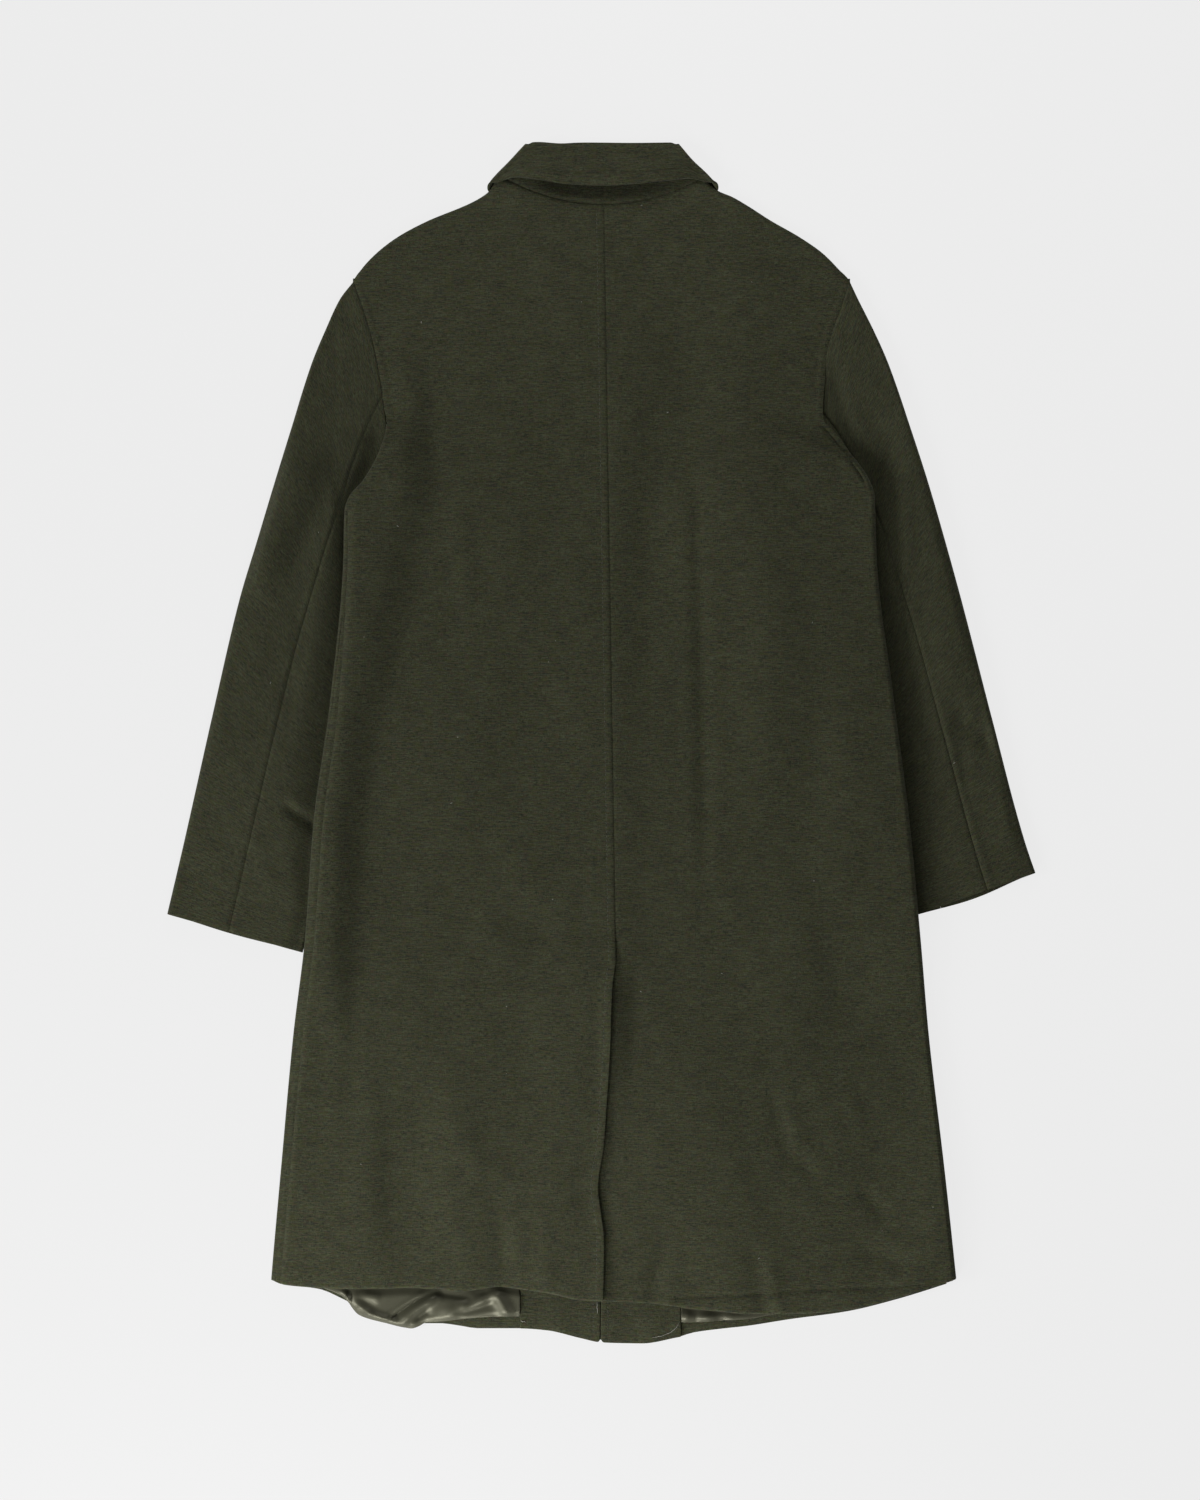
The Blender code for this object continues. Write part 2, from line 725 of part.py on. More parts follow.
def sleeve_place(side, across, along):
    """Place on the laid sleeve: across from the outer fold, along from the armhole."""
    cuff = CUFFS[side]
    shoulder = armhole_point(side, 0.0)
    underarm = armhole_point(side, 1.0)
    outer_corner = Vector((cuff.outer_x, cuff.outer_y))
    inner_corner = Vector((cuff.inner_x, cuff.inner_y))
    outer_y = mix(shoulder.y, cuff.outer_y, along)
    outer = Vector((read_table(SLEEVE_SECTIONS, "y", side, outer_y), outer_y))
    inner = underarm.lerp(inner_corner, along)
    top = armhole_point(side, across)
    low = outer_corner.lerp(inner_corner, across)
    plain = shoulder.lerp(underarm, across).lerp(low, along)
    return outer.lerp(inner, across) + top.lerp(low, along) - plain


def sleeve_seam(side, along):
    """Share of the width where the back seam runs."""
    cuff = CUFFS[side]
    return mix(cuff.seam_low, cuff.seam_top, (1.0 - along) ** cuff.seam_fade)


def sleeve_width(side, along):
    """Width of the laid sleeve."""
    return (sleeve_place(side, 1.0, along) - sleeve_place(side, 0.0, along)).length


def sleeve_point(side, across, along, upper):
    """Middle of the sleeve's wall, rounded at both folds."""
    place = sleeve_place(side, across, along)
    radius = SLEEVE_LOFT / 2
    width = sleeve_width(side, along)
    from_fold = min(across, 1.0 - across) * width
    inset = radius - min(radius, from_fold)
    half = math.sqrt(max(0.0, radius * radius - inset * inset))
    z = FLOOR_LAYER + radius + (half if upper else -half)
    if upper:
        free = smoothstep(from_fold / SLEEVE_RIM) * smoothstep((SLEEVE_COVER - across) / SLEEVE_COVER_RUN)
        free *= smoothstep(along * SLEEVE_LENGTH / SLEEVE_BLEND)
        z += max(0.0, SLEEVE_PUFF + fold_height(SLEEVE_FOLDS, place.x, place.y)) * free
    return (place.x, place.y, z)


def fold_shares(width):
    """Shares of the width for the points round a fold."""
    radius = SLEEVE_LOFT / 2
    return [radius * (1.0 - math.cos(turn)) / width for turn in FOLD_TURNS]


def make_sleeve(side, finish_top, finish_under):
    """Both pieces of a sleeve: the top one round the outer fold, the under one round the inner."""
    top_rows = []
    under_rows = []
    armhole_inset = ARMHOLE_GAP / SLEEVE_LENGTH
    for along in spread(armhole_inset, 1.0, SLEEVE_ROWS):
        seam = sleeve_seam(side, along)
        width = sleeve_width(side, along)
        gap = SEAM_GAP / width
        shares = fold_shares(width)
        seam_top = CUFFS[side].seam_top
        knots = armhole_shares(side)
        upper = [seam] + [k * seam / seam_top for k in reversed(knots) if k < seam_top]
        upper.append(shares[-1])
        lower = [shares[-1]] + [k for k in knots if k < FRONT_SEAM] + [FRONT_SEAM]
        row = [sleeve_point(side, share, along, True) for share in upper]
        row += [sleeve_point(side, share, along, True) for share in reversed(shares[:-1])]
        row += [sleeve_point(side, share, along, False) for share in shares[1:-1]]
        row += [sleeve_point(side, share, along, False) for share in lower]
        top_rows.append(row)
        squeeze = (1.0 - seam) / (1.0 - seam_top)
        upper = [seam + gap] + [1.0 - (1.0 - k) * squeeze for k in knots if k > seam_top]
        upper.append(1.0 - shares[-1])
        lower = [1.0 - shares[-1]] + [k for k in reversed(knots) if k > FRONT_SEAM + gap]
        lower.append(FRONT_SEAM + gap)
        row = [sleeve_point(side, share, along, True) for share in upper]
        row += [sleeve_point(side, 1.0 - share, along, True) for share in reversed(shares[:-1])]
        row += [sleeve_point(side, 1.0 - share, along, False) for share in shares[1:-1]]
        row += [sleeve_point(side, share, along, False) for share in lower]
        under_rows.append(row)
    cloth("sleeve_top_" + side, top_rows, WOOL, finish_top)
    cloth("sleeve_under_" + side, under_rows, WOOL, finish_under)


def collar_edge_level(x):
    """Lower edge of the fall across the back of the neck."""
    share = min(1.0, abs(x) / COLLAR_EDGE_HALF)
    return COLLAR_EDGE_Y + COLLAR_EDGE_RISE * share ** COLLAR_EDGE_POWER


def fall_height(across):
    """The fall lies on the stand and rolls down to its top."""
    inset = FALL_ROLL * (1.0 - smoothstep(across / FALL_ROLL_SHARE))
    return FALL_MIDDLE - inset


def fall_top_point(across, share):
    """Upper layer of the fall, from the left silhouette to the right one."""
    left_x = read_table(COLLAR_SECTIONS, "across", "left_x", across)
    right_x = read_table(COLLAR_SECTIONS, "across", "right_x", across)
    left_y = read_table(COLLAR_SECTIONS, "across", "left_y", across)
    right_y = read_table(COLLAR_SECTIONS, "across", "right_y", across)
    radius = (fall_height(across) - FLOOR_LAYER) / 2
    x = mix(left_x + radius + WOOL / 2, right_x - radius - WOOL / 2, share)
    level = mix(COLLAR_TOP_Y, collar_edge_level(x), across)
    near_side = smoothstep((abs(share - 0.5) - FALL_SIDE_START) / FALL_SIDE_RUN)
    return (x, mix(level, mix(left_y, right_y, share), near_side), fall_height(across))


def fall_wrap_points(side, across):
    """Half round of the fall over the side of the neck, upper layer first."""
    left = side == "left"
    edge_x = read_table(COLLAR_SECTIONS, "across", side + "_x", across)
    edge_y = read_table(COLLAR_SECTIONS, "across", side + "_y", across)
    radius = (fall_height(across) - FLOOR_LAYER) / 2
    points = []
    for turn in FALL_TURNS:
        angle = turn * math.pi / 2
        inset = radius * (1.0 - math.cos(angle)) + WOOL / 2
        x = edge_x + inset if left else edge_x - inset
        points.append((x, edge_y, FLOOR_LAYER + radius * (1.0 + math.sin(angle))))
    return points


def leaf_points(side, across):
    """Front leaf of the fall, flat on the floor, from the side of the neck to its front edge."""
    edge_x = read_table(COLLAR_SECTIONS, "across", side + "_x", across)
    edge_y = read_table(COLLAR_SECTIONS, "across", side + "_y", across)
    mirror = -outer_sign(side)
    radius = (FALL_MIDDLE - FLOOR_LAYER) / 2
    start = Vector((edge_x + mirror * (radius + WOOL / 2), edge_y))
    end = Vector((
        mix(COLLAR_FRONT[0], COLLAR_POINT[0], across) * mirror,
        mix(COLLAR_FRONT[1], COLLAR_POINT[1], across),
    ))
    places = [start.lerp(end, share) for share in spread(0.0, 1.0, LEAF_SPANS)]
    return [(place.x, place.y, FLOOR_LAYER) for place in places]


def make_collar_fall(finish):
    """Turned-down leaf of the collar, round the neck from one front point to the other."""
    columns = []
    for across in FALL_COLUMNS:
        line = leaf_points("left", across)[::-1] + fall_wrap_points("left", across)[::-1]
        line += [fall_top_point(across, share) for share in spread(0.0, 1.0, TOP_SPANS)]
        line += fall_wrap_points("right", across) + leaf_points("right", across)
        columns.append(line)
    cloth("collar_fall", list(zip(*columns)), WOOL, finish)


def make_collar_stand(finish):
    """Band from the neck seam up to the roll line, under the fall."""
    rows = []
    middle = FLOOR_LAYER + BACK_OVER_FRONT
    places = [-place for place in NECK_SHARES[:0:-1]] + list(NECK_SHARES)
    for share in spread(0.0, 1.0, STAND_ROWS):
        row = []
        for place in places:
            seam_y = NECK_Y + NECK_RISE * place * place + SEAM_GAP
            x = CENTRE_BACK + NECK_HALF * place * mix(1.0, STAND_TAPER, share)
            row.append((x, mix(seam_y, STAND_TOP_Y, share), middle))
        rows.append(row)
    cloth("collar_stand", rows[::-1], WOOL, finish)


def clear_scene():
    """Start from an empty scene."""
    for item in list(bpy.data.objects):
        bpy.data.objects.remove(item, do_unlink=True)


def main():
    """Make every piece of the coat."""
    clear_scene()
    wool = {
        name: make_finish("wool_" + name, WOOL_COLOUR, WOOL_ROUGHNESS)
        for name in ("back", "front", "facing", "sleeve_top", "sleeve_under", "fall", "stand")
    }
    satin = make_finish("satin_lining", SATIN_COLOUR, SATIN_ROUGHNESS)
    for side in ("left", "right"):
        make_back(side, wool["back"])
        make_front(side, wool["front"])
        make_facing(side, wool["facing"])
        make_lining(side, satin)
        make_sleeve(side, wool["sleeve_top"], wool["sleeve_under"])
    make_collar_stand(wool["stand"])
    make_collar_fall(wool["fall"])


main()
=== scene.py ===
"""Cloth, lining and sewing of a heavy wool overcoat that lies on its front with the back up.

Lengths in the tables are millimetres in the part's own frame: +X right as seen from above,
+Y from the hem to the collar, +Z up from the surface that the coat lies on.
"""
import json
import math
from collections import namedtuple

import bpy
import numpy as np
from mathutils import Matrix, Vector
from mathutils.bvhtree import BVHTree

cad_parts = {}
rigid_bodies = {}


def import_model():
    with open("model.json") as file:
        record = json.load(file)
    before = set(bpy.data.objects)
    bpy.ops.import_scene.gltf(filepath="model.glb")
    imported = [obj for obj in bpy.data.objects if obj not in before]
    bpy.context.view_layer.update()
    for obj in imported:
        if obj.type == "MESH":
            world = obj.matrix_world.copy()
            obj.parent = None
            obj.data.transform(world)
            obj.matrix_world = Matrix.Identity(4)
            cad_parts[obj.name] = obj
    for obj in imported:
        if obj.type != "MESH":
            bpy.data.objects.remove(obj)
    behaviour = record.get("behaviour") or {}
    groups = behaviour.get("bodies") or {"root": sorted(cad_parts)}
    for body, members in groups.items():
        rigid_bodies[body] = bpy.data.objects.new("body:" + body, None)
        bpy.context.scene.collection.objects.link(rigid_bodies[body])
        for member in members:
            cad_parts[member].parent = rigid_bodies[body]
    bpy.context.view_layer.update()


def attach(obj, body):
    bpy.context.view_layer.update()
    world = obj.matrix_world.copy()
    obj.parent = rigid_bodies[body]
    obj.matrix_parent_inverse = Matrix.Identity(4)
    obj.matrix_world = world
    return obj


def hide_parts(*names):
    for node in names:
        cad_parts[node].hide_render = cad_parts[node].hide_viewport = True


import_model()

bl_info = {
    "name": "Laid Overcoat",
    "version": (1, 0, 0),
    "blender": (4, 5, 0),
    "location": "View3D > Sidebar > Overcoat",
    "description": "Makes the cloth, lining and sewing of an overcoat laid with its back up",
    "category": "Object",
}

MM = 0.001
SIDES = ("left", "right")
BODY = "root"
CLOTH_UV = "cloth"

# Heights of the middle of each layer, and gaps between pieces
WOOL_HALF = 1.0
SEAM_GAP = 0.3
ARMHOLE_GAP = 0.6
FLOOR_LAYER = WOOL_HALF
BACK_OVER_FRONT = 4.6
FACING_LAYER = 3.2
LINING_LAYER = 2.9
SLEEVE_LOFT = 5.2
BODY_LIFT = 7.8
BACK_PUFF = 4.5
SLEEVE_PUFF = {"left": 8.5, "right": 3.0}
FOLD_TAPER = 0.22

# Centre back, neck and front edges
CENTRE_BACK = 2.0
CENTRE_BACK_LEAN = 12.0
NECK_Y = 537.0
NECK_RISE = 22.0
NECK_HALF = 90.0
NECK_END = 1.16
NECK_FADE = 4.0
FRONT_EDGE = {"left": -3.2, "right": -2.6}
FRONT_TOP_Y = 450.0
FRONT_TOP_GAP = 14.0
FRONT_CORNER = 4.0
CORNER_SHARE = 0.8
CORNER_FADE = 100.0

# Vent: the left panel covers the underlap, and its edge curls up, most just below the top
VENT_TOP_Y = -218.0
VENT_FADE = 20.0
VENT_LIFT = 2.7
VENT_COVER_TOP = 40.0
VENT_COVER_REACH = 100.0
VENT_COVER_RUN = 50.0
VENT_CURL = 1.3
VENT_CURL_RUN = 40.0
VENT_CURL_WIDTH = 16.0
VENT_PEAK = 2.2
VENT_PEAK_Y = -272.0
VENT_PEAK_RUN = 45.0
UNDERLAP_Y = -232.0
UNDERLAP = 38.0
UNDERLAP_RUN = 14.0

# Levels of the body
SHOULDER_Y = 460.0
ARMHOLE_SHOWS_Y = 335.0
CHEST_Y = 321.0
FOLD_TOP_Y = 318.0
UNDERARM_Y = 263.0
UNDERARM_STEP = 1.0
SIDE_WRAP_Y = 231.0
HEM_BLEND_Y = -400.0
HEM_FINE_Y = -505.0
HEM_ROW_Y = -545.0

# Rise of the body over the sleeves
RAMP_START = 20.0
RAMP_END = 3.0
BACK_RAMP = 200.0
RAMP_FOOT = 40.0
LIFT_LEAN = 0.25
LIFT_TAIL = 115.0
LIFT_FADE = 108.0
LEFT_LIFT_INSET = 40.0
LEFT_LIFT_Y = 296.0
LEFT_LIFT_RUN = 44.0
ARMHOLE_RISE = {"left": 0.75, "right": 0.4}
ARMHOLE_RISE_Y = 410.0
ARMHOLE_RISE_RUN = {"left": 100.0, "right": 90.0}

# Sides of the body, and how far from edges and neck the folds are calm
SLOPE_STEP = 2.0
SIDE_INSET = 34.0
STRIP_TOP = 4.0
STRIP_HEM = 10.0
STRIP_RUN = 240.0
SIDE_SEAM_FADE = 40.0
UNDER_WRAP = 9.0
SHOULDER_INSET = 4.0
SHOULDER_ROLL = 5.0
SHOULDER_DROP = 0.75
SHOULDER_FADE = 10.0
SHOULDER_FADE_START = 4.0
LEAST_ROLL = 1.3
ROLL_SQUARE = 0.7
ROLL_REACH = 0.6
CALM_SIDE = {"left": 14.0, "right": 3.5}
CALM_ARMHOLE = 140.0
CALM_TOP_Y = 345.0
CALM_RUN = 70.0
CALM_NECK = 90.0

# Facings and lining, which are loose past the hem of the back
FACING_EDGE = {"left": -1.2, "right": -0.6}
FACING_WIDTH = 80.0
FACING_TOP_GAP = 10.0
FACING_FINE = 12.0
FACING_COARSE = 14.0
FACING_WAVE = 0.9
FACING_WAVE_PITCH = 47.0
FACING_WAVE_PHASE = 1.0
FACING_LOOSE = -2.0
LINING_TOP_Y = -215.0
LINING_FINE_Y = -480.0
LINING_SIDE = 52.0
LINING_RISE = 3.6
LINING_LOOSE = 1.0
LOOSE_RUN = 10.0

# Sleeves: seams, fullness, and where the body presses them flat
FRONT_SEAM = 0.72
SLEEVE_LENGTH = 640.0
SLEEVE_BLEND = 170.0
SLEEVE_RIM = 12.0
SLEEVE_WAVES = 0.7
SLEEVE_TUCK = 3.0
CREASE_BLEND = 30.0
CUFF_FLAT = 0.6
CUFF_FLAT_FROM = 0.65
CUFF_FLAT_RUN = 0.3
COVER_SOFT = 3.0
COVER_LEAST = 0.3
COVER_MOST = 0.97
LEFT_PRESS_GAP = 2.0
LEFT_PRESS_RUN = 36.0
LEFT_PRESS_CUFF_RUN = 14.0
LEFT_PRESS_FROM = 0.72
LEFT_PRESS_FADE = 0.2
RIGHT_PRESS_GAP = 30.0
RIGHT_PRESS_RUN = 45.0

# Collar: shares go from the roll line (0) to the outer edge (1)
COLLAR_TOP_Y = 599.6
COLLAR_WAVES = 0.4
COLLAR_WAVES_RUN = 0.3
COLLAR_POINT = (-62.0, 453.0)
COLLAR_FRONT = (-6.0, 505.0)
LEAF_GAP = 2.0
FALL_WIDTH = 45.0
FALL_MIDDLE = 8.1
FALL_LIFT = 10.0
FALL_LIFT_FROM = 0.2
FALL_LIFT_RUN = 0.6
FALL_LIFT_HALF = 0.22
FALL_LIFT_FADE = 0.27
FALL_ROLL = 2.4
FALL_ROLL_SHARE = 0.12
FALL_RIDGE = 0.74
FALL_RIDGE_RUN = 0.05
FALL_RIDGE_SIDE = 0.35
FALL_TURN_START = (0.46, 0.38)
FALL_TURN_RUN = (0.04, 0.12)
STAND_TOP_Y = 594.5
STAND_TAPER = 0.64
STAND_DIP = 3.9
STAND_DIP_FROM = 0.04
STAND_DIP_RUN = 0.4
STAND_DIP_HALF = 0.6
STAND_DIP_FADE = 0.3
STAND_TUCK = 0.01
STAND_TUCK_RUN = 0.06

# Seams and hems
STITCH_INSET = 7.0
ALLOWANCE = 6.0
ALLOWANCE_DROP = 2.4
ALLOWANCE_RUN = 2.0
HEM_RADIUS = 1.4
HEM_INSET = HEM_RADIUS + WOOL_HALF
HEM_DEPTH = 12.0

# Rows and columns of the grids: steps are lengths, places along and across are shares, the rest counts
NECK_ROWS = 30
BACK_STEP = 3.8
HEM_STEP = 1.6
BACK_COLUMNS = 82
BACK_INNER_STEPS = (0.0, 1.7, 3.2, 4.6, 5.8, 7.0, 8.2, 9.6, 12.0, 15.0)
BACK_OUTER_STEPS = (0.0, 1.7, 3.2, 4.8, 6.4, 8.0, 10.0, 13.0)
UNDERLAP_COLUMNS = 13
ROLL_TURNS = 11
HEM_TURNS = 7
CLOSE_SHARE = 0.8
FRONT_STEP = 7.0
FRONT_COLUMNS = 40
SIDE_COLUMNS = 21
STRIP_COLUMNS = 7
FACING_STEP = 5.0
FACING_FINE_COLUMNS = 9
FACING_COLUMNS = 30
LINING_STEP = 12.0
LINING_FINE_STEP = 1.3
LINING_COLUMNS = 120
ARMHOLE_SAMPLES = 400
COVER_SAMPLES = 61
SLEEVE_ROWS = 150
SLEEVE_ROWS_FROM = 0.018
SLEEVE_ROWS_TO = 0.972
SLEEVE_TOP_STEPS = (-5.0, -3.5, -2.2, -1.0, 0.0, 1.7, 3.2, 5.0, 7.5)
SLEEVE_CUFF_STEPS = (14.0, 11.0, 8.0, 5.0, 3.0, 1.6, 0.0)
SLEEVE_SEAM_STEPS = (0.0, 1.7, 3.2, 4.8, 6.5, 8.5, 11.0)
SLEEVE_COLUMNS = 26
SLEEVE_LOWER_COLUMNS = {"top": 16, "under": 10}
SLEEVE_TURNS = 9
FALL_ROWS = 150
FALL_TURNS = 11
FALL_TURN_END = 0.95
LEAF_ROWS = 16
FALL_ROLL_COLUMNS = 9
FALL_GRAIN_COLUMN = 20
FALL_COLUMNS = 34
FALL_COLUMNS_FROM = 0.15
FALL_COLUMNS_TO = 0.92
FALL_EDGE_SHARES = (0.945, 0.965, 1.0)
STAND_EDGE_SHARES = (-0.1, -0.06, -0.03, 0.0, 0.03, 0.06)
STAND_ROWS_FROM = 0.1
STAND_ROWS = 24
STAND_COLUMNS = 131

# Rounding of cut edges, with its angle in degrees, and the least length to divide by
EDGE_SEGMENTS = 2
EDGE_ANGLE = 60.0
LEAST_LENGTH = 1e-9

EdgeRow = namedtuple("EdgeRow", "y left right")
HemRow = namedtuple("HemRow", "x back front lining")
LinePoint = namedtuple("LinePoint", "y x")
Fold = namedtuple("Fold", "x_start y_start x_end y_end width height bow", defaults=(0.0,))
LiftRow = namedtuple("LiftRow", "y x half")
Wave = namedtuple("Wave", "x_pitch y_pitch phase height")
Cuff = namedtuple("Cuff", "outer_x outer_y inner_x inner_y seam_top seam_low seam_fade lower_reach")
CollarRow = namedtuple("CollarRow", "across left_x left_y right_x right_y hook")
Bump = namedtuple("Bump", "x width height")
Groove = namedtuple("Groove", "depth width inset", defaults=(0.0,))
Strip = namedtuple("Strip", "height width soft")
Span = namedtuple("Span", "start start_run end end_run")
Cut = namedtuple("Cut", "width length area")
Fleck = namedtuple("Fleck", "colour scale")
Noise = namedtuple("Noise", "scale detail tone height")
Finish = namedtuple("Finish", "roughness sheen gloss")
Lamp = namedtuple("Lamp", "name place power size")

# Edge of the back as seen from above: shoulder, armhole, diagonal fold, then the side
BACK_EDGE = (
    EdgeRow(567, -105.5, 106.5),
    EdgeRow(562, -107.0, 108.0),
    EdgeRow(556, -109.0, 111.0),
    EdgeRow(551, -112.0, 116.5),
    EdgeRow(545, -119.5, 130.5),
    EdgeRow(537, -134.5, 144.5),
    EdgeRow(521, -173.5, 169.5),
    EdgeRow(505, -203.5, 197.5),
    EdgeRow(489, -224.5, 220.5),
    EdgeRow(473, -239.5, 236.5),
    EdgeRow(460, -247.5, 247.5),
    EdgeRow(439, -240.5, 241.5),
    EdgeRow(410, -231.5, 231.0),
    EdgeRow(384, -225.5, 224.5),
    EdgeRow(362, -221.5, 223.0),
    EdgeRow(335, -217.5, 221.0),
    EdgeRow(323, -215.0, 221.5),
    EdgeRow(316, -215.0, 228.0),
    EdgeRow(292, -221.5, 246.0),
    EdgeRow(262, -237.5, 267.0),
    EdgeRow(245, -252.0, 272.5),
    EdgeRow(231, -256.5, 273.0),
    EdgeRow(183, -257.5, 274.5),
    EdgeRow(43, -270.5, 291.5),
    EdgeRow(-77, -287.0, 307.0),
    EdgeRow(-197, -296.0, 318.5),
    EdgeRow(-297, -308.5, 327.5),
    EdgeRow(-417, -319.5, 341.5),
    EdgeRow(-537, -329.5, 353.5),
    EdgeRow(-575, -332.0, 357.0),
)

# Armhole seam from the shoulder point to the underarm: the back's edge, then the part below it
ARMHOLE = tuple(row for row in BACK_EDGE if ARMHOLE_SHOWS_Y <= row.y <= SHOULDER_Y) + (
    EdgeRow(321, -214.5, 219.0),
    EdgeRow(296, -203.5, 206.0),
    EdgeRow(275, -187.5, 185.0),
    EdgeRow(263, -165.5, 158.5),
)

# Outer fold of the sleeves
SLEEVE_EDGE = (
    EdgeRow(460, -247.5, 247.5),
    EdgeRow(443, -260.5, 255.5),
    EdgeRow(413, -274.5, 270.5),
    EdgeRow(383, -287.0, 284.0),
    EdgeRow(353, -297.0, 295.0),
    EdgeRow(323, -306.0, 305.0),
    EdgeRow(263, -324.5, 324.5),
    EdgeRow(203, -342.5, 342.0),
    EdgeRow(143, -360.5, 358.5),
    EdgeRow(23, -388.5, 389.5),
    EdgeRow(-97, -415.5, 421.5),
    EdgeRow(-171, -432.8, 447.6),
)

# Per side: cuff corners, where the back seam leaves the armhole and runs below, lower layer's reach
CUFFS = {
    "left": Cuff(-432.8, -171.0, -299.5, -209.0, 0.53, 0.455, 4, 2.0),
    "right": Cuff(433.2, -130.0, 302.5, -176.0, 0.58, 0.36, 5, 5.0),
}

# Lower edges of the back, the fronts and the lining, from the left side to the right
HEM = (
    HemRow(-332, -535, -535, -533),
    HemRow(-316, -541, -541, -538),
    HemRow(-281, -544, -546, -544),
    HemRow(-262, -545, -554, -551),
    HemRow(-256, -545, -557, -555),
    HemRow(-250, -545, -560, -563),
    HemRow(-243, -545, -567, -571),
    HemRow(-233, -545, -571, -575),
    HemRow(-217, -545, -575, -579),
    HemRow(-196, -544, -580, -584),
    HemRow(-190, -544, -580, -585),
    HemRow(-183, -544, -580, -583),
    HemRow(-175, -545, -580, -579),
    HemRow(-161, -545, -580, -578),
    HemRow(-144, -548, -582, -576),
    HemRow(-123, -546, -585, -574),
    HemRow(-102, -543, -585, -573),
    HemRow(-84, -545, -585, -573),
    HemRow(-54, -549, -587, -573),
    HemRow(-20, -556, -595, -573),
    HemRow(0, -557, -599, -573),
    HemRow(40, -559, -600, -573),
    HemRow(76, -563, -594, -577),
    HemRow(81, -564, -593, -579),
    HemRow(88, -565, -590, -579),
    HemRow(124, -568, -585, -577),
    HemRow(143, -570, -583, -576),
    HemRow(188, -570, -576, -568),
    HemRow(246, -566, -568, -560),
    HemRow(295, -554, -556, -550),
    HemRow(356, -535, -537, -530),
)

# Free edge of the vent, which swings left and back again
VENT_EDGE = (
    LinePoint(-218, 14.0),
    LinePoint(-247, 10.5),
    LinePoint(-308, 8.5),
    LinePoint(-369, 4.5),
    LinePoint(-398, 2.5),
    LinePoint(-442, -3.5),
    LinePoint(-466, -0.5),
    LinePoint(-490, 2.5),
    LinePoint(-545, 1.5),
)

# Height of the back's rise over the sleeves
BACK_LIFT = (
    EdgeRow(400, 13.0, 9.0),
    EdgeRow(260, 14.0, 11.5),
    EdgeRow(20, 14.0, 11.0),
    EdgeRow(-140, 12.5, 8.0),
    EdgeRow(-300, 10.0, 7.8),
)

# Middle and half width of the rise over the left sleeve
LIFT_LINE = (
    LiftRow(400, -182.0, 20.0),
    LiftRow(343, -183.0, 20.0),
    LiftRow(263, -182.0, 21.0),
    LiftRow(183, -202.0, 30.0),
    LiftRow(103, -220.0, 27.0),
    LiftRow(23, -237.0, 22.0),
    LiftRow(-57, -248.0, 19.0),
    LiftRow(-137, -253.0, 17.0),
    LiftRow(-250, -262.0, 17.0),
)

# Broad folds of the back, then the smaller creases
BACK_FOLDS = (
    Fold(-166, 398, -140, 285, 26, -1.6),
    Fold(6, 330, 13, -190, 45, 2.6),
    Fold(-112, 300, -128, -100, 55, 1.6),
    Fold(-80, -150, -58, -235, 26, -1.8),
    Fold(-232, -330, -236, -520, 20, 2.2),
    Fold(-188, -330, -190, -520, 20, -2.2, 4),
    Fold(-142, -340, -145, -500, 24, 1.8),
    Fold(78, 440, 82, 270, 42, -4.5),
    Fold(46, 300, 44, -205, 18, -1.4, -3),
    Fold(158, 230, 164, -80, 28, 1.7),
    Fold(203, 150, 208, -150, 24, -1.8, 5),
    Fold(20, -238, 15, -392, 9, 1.2, -3),
    Fold(33, -226, 28, -330, 8, -1.3, 3),
    Fold(110, -300, 118, -520, 36, 2.4),
    Fold(225, -160, 235, -270, 20, -1.2),
    Fold(256, -190, 264, -430, 42, -3.6),
    Fold(346, -260, 353, -520, 36, 5.0),
    Fold(-216, 378, -131, 443, 8, 1.2, 5),
    Fold(-212, 362, -128, 428, 9, -1.1, 5),
    Fold(-121, 383, -102, 343, 10, -1.4),
    Fold(-150, 250, -130, 120, 9, 1.0, 4),
    Fold(-106, -180, -44, -196, 16, -1.6, 4),
    Fold(-213, -340, -212, -505, 12, -1.6, 3),
    Fold(-105, -452, -98, -540, 12, -2.2, 3),
    Fold(-90, -470, -82, -540, 9, 1.0),
    Fold(-56, -478, -56, -540, 9, 1.5),
    Fold(-150, -380, -120, -430, 12, 1.2),
    Fold(-262, -190, -272, -430, 10, 1.2, 4),
    Fold(80, 245, 88, -125, 9, 0.9, 2),
    Fold(95, 245, 103, -125, 8, -1.6, 2),
    Fold(173, 378, 189, 323, 9, -1.7, 2),
    Fold(193, 263, 249, 293, 7, 1.2, -3),
    Fold(186, 246, 240, 272, 8, -1.1, -3),
    Fold(168, -347, 184, -412, 9, -1.4, 2),
    Fold(184, -412, 212, -428, 7, -1.8, 3),
    Fold(180, -345, 198, -405, 10, 0.9, 2),
    Fold(258, -437, 284, -472, 8, -1.7, 2),
    Fold(258, -497, 304, -519, 9, -2.0, 3),
    Fold(53, -547, 64, -487, 10, -1.7, 2),
    Fold(64, -550, 78, -500, 8, 1.4, 2),
    Fold(170, -560, 153, -492, 10, -1.7, 3),
    Fold(182, -560, 168, -500, 8, 1.4, 3),
    Fold(240, -330, 262, -395, 9, 1.1),
)

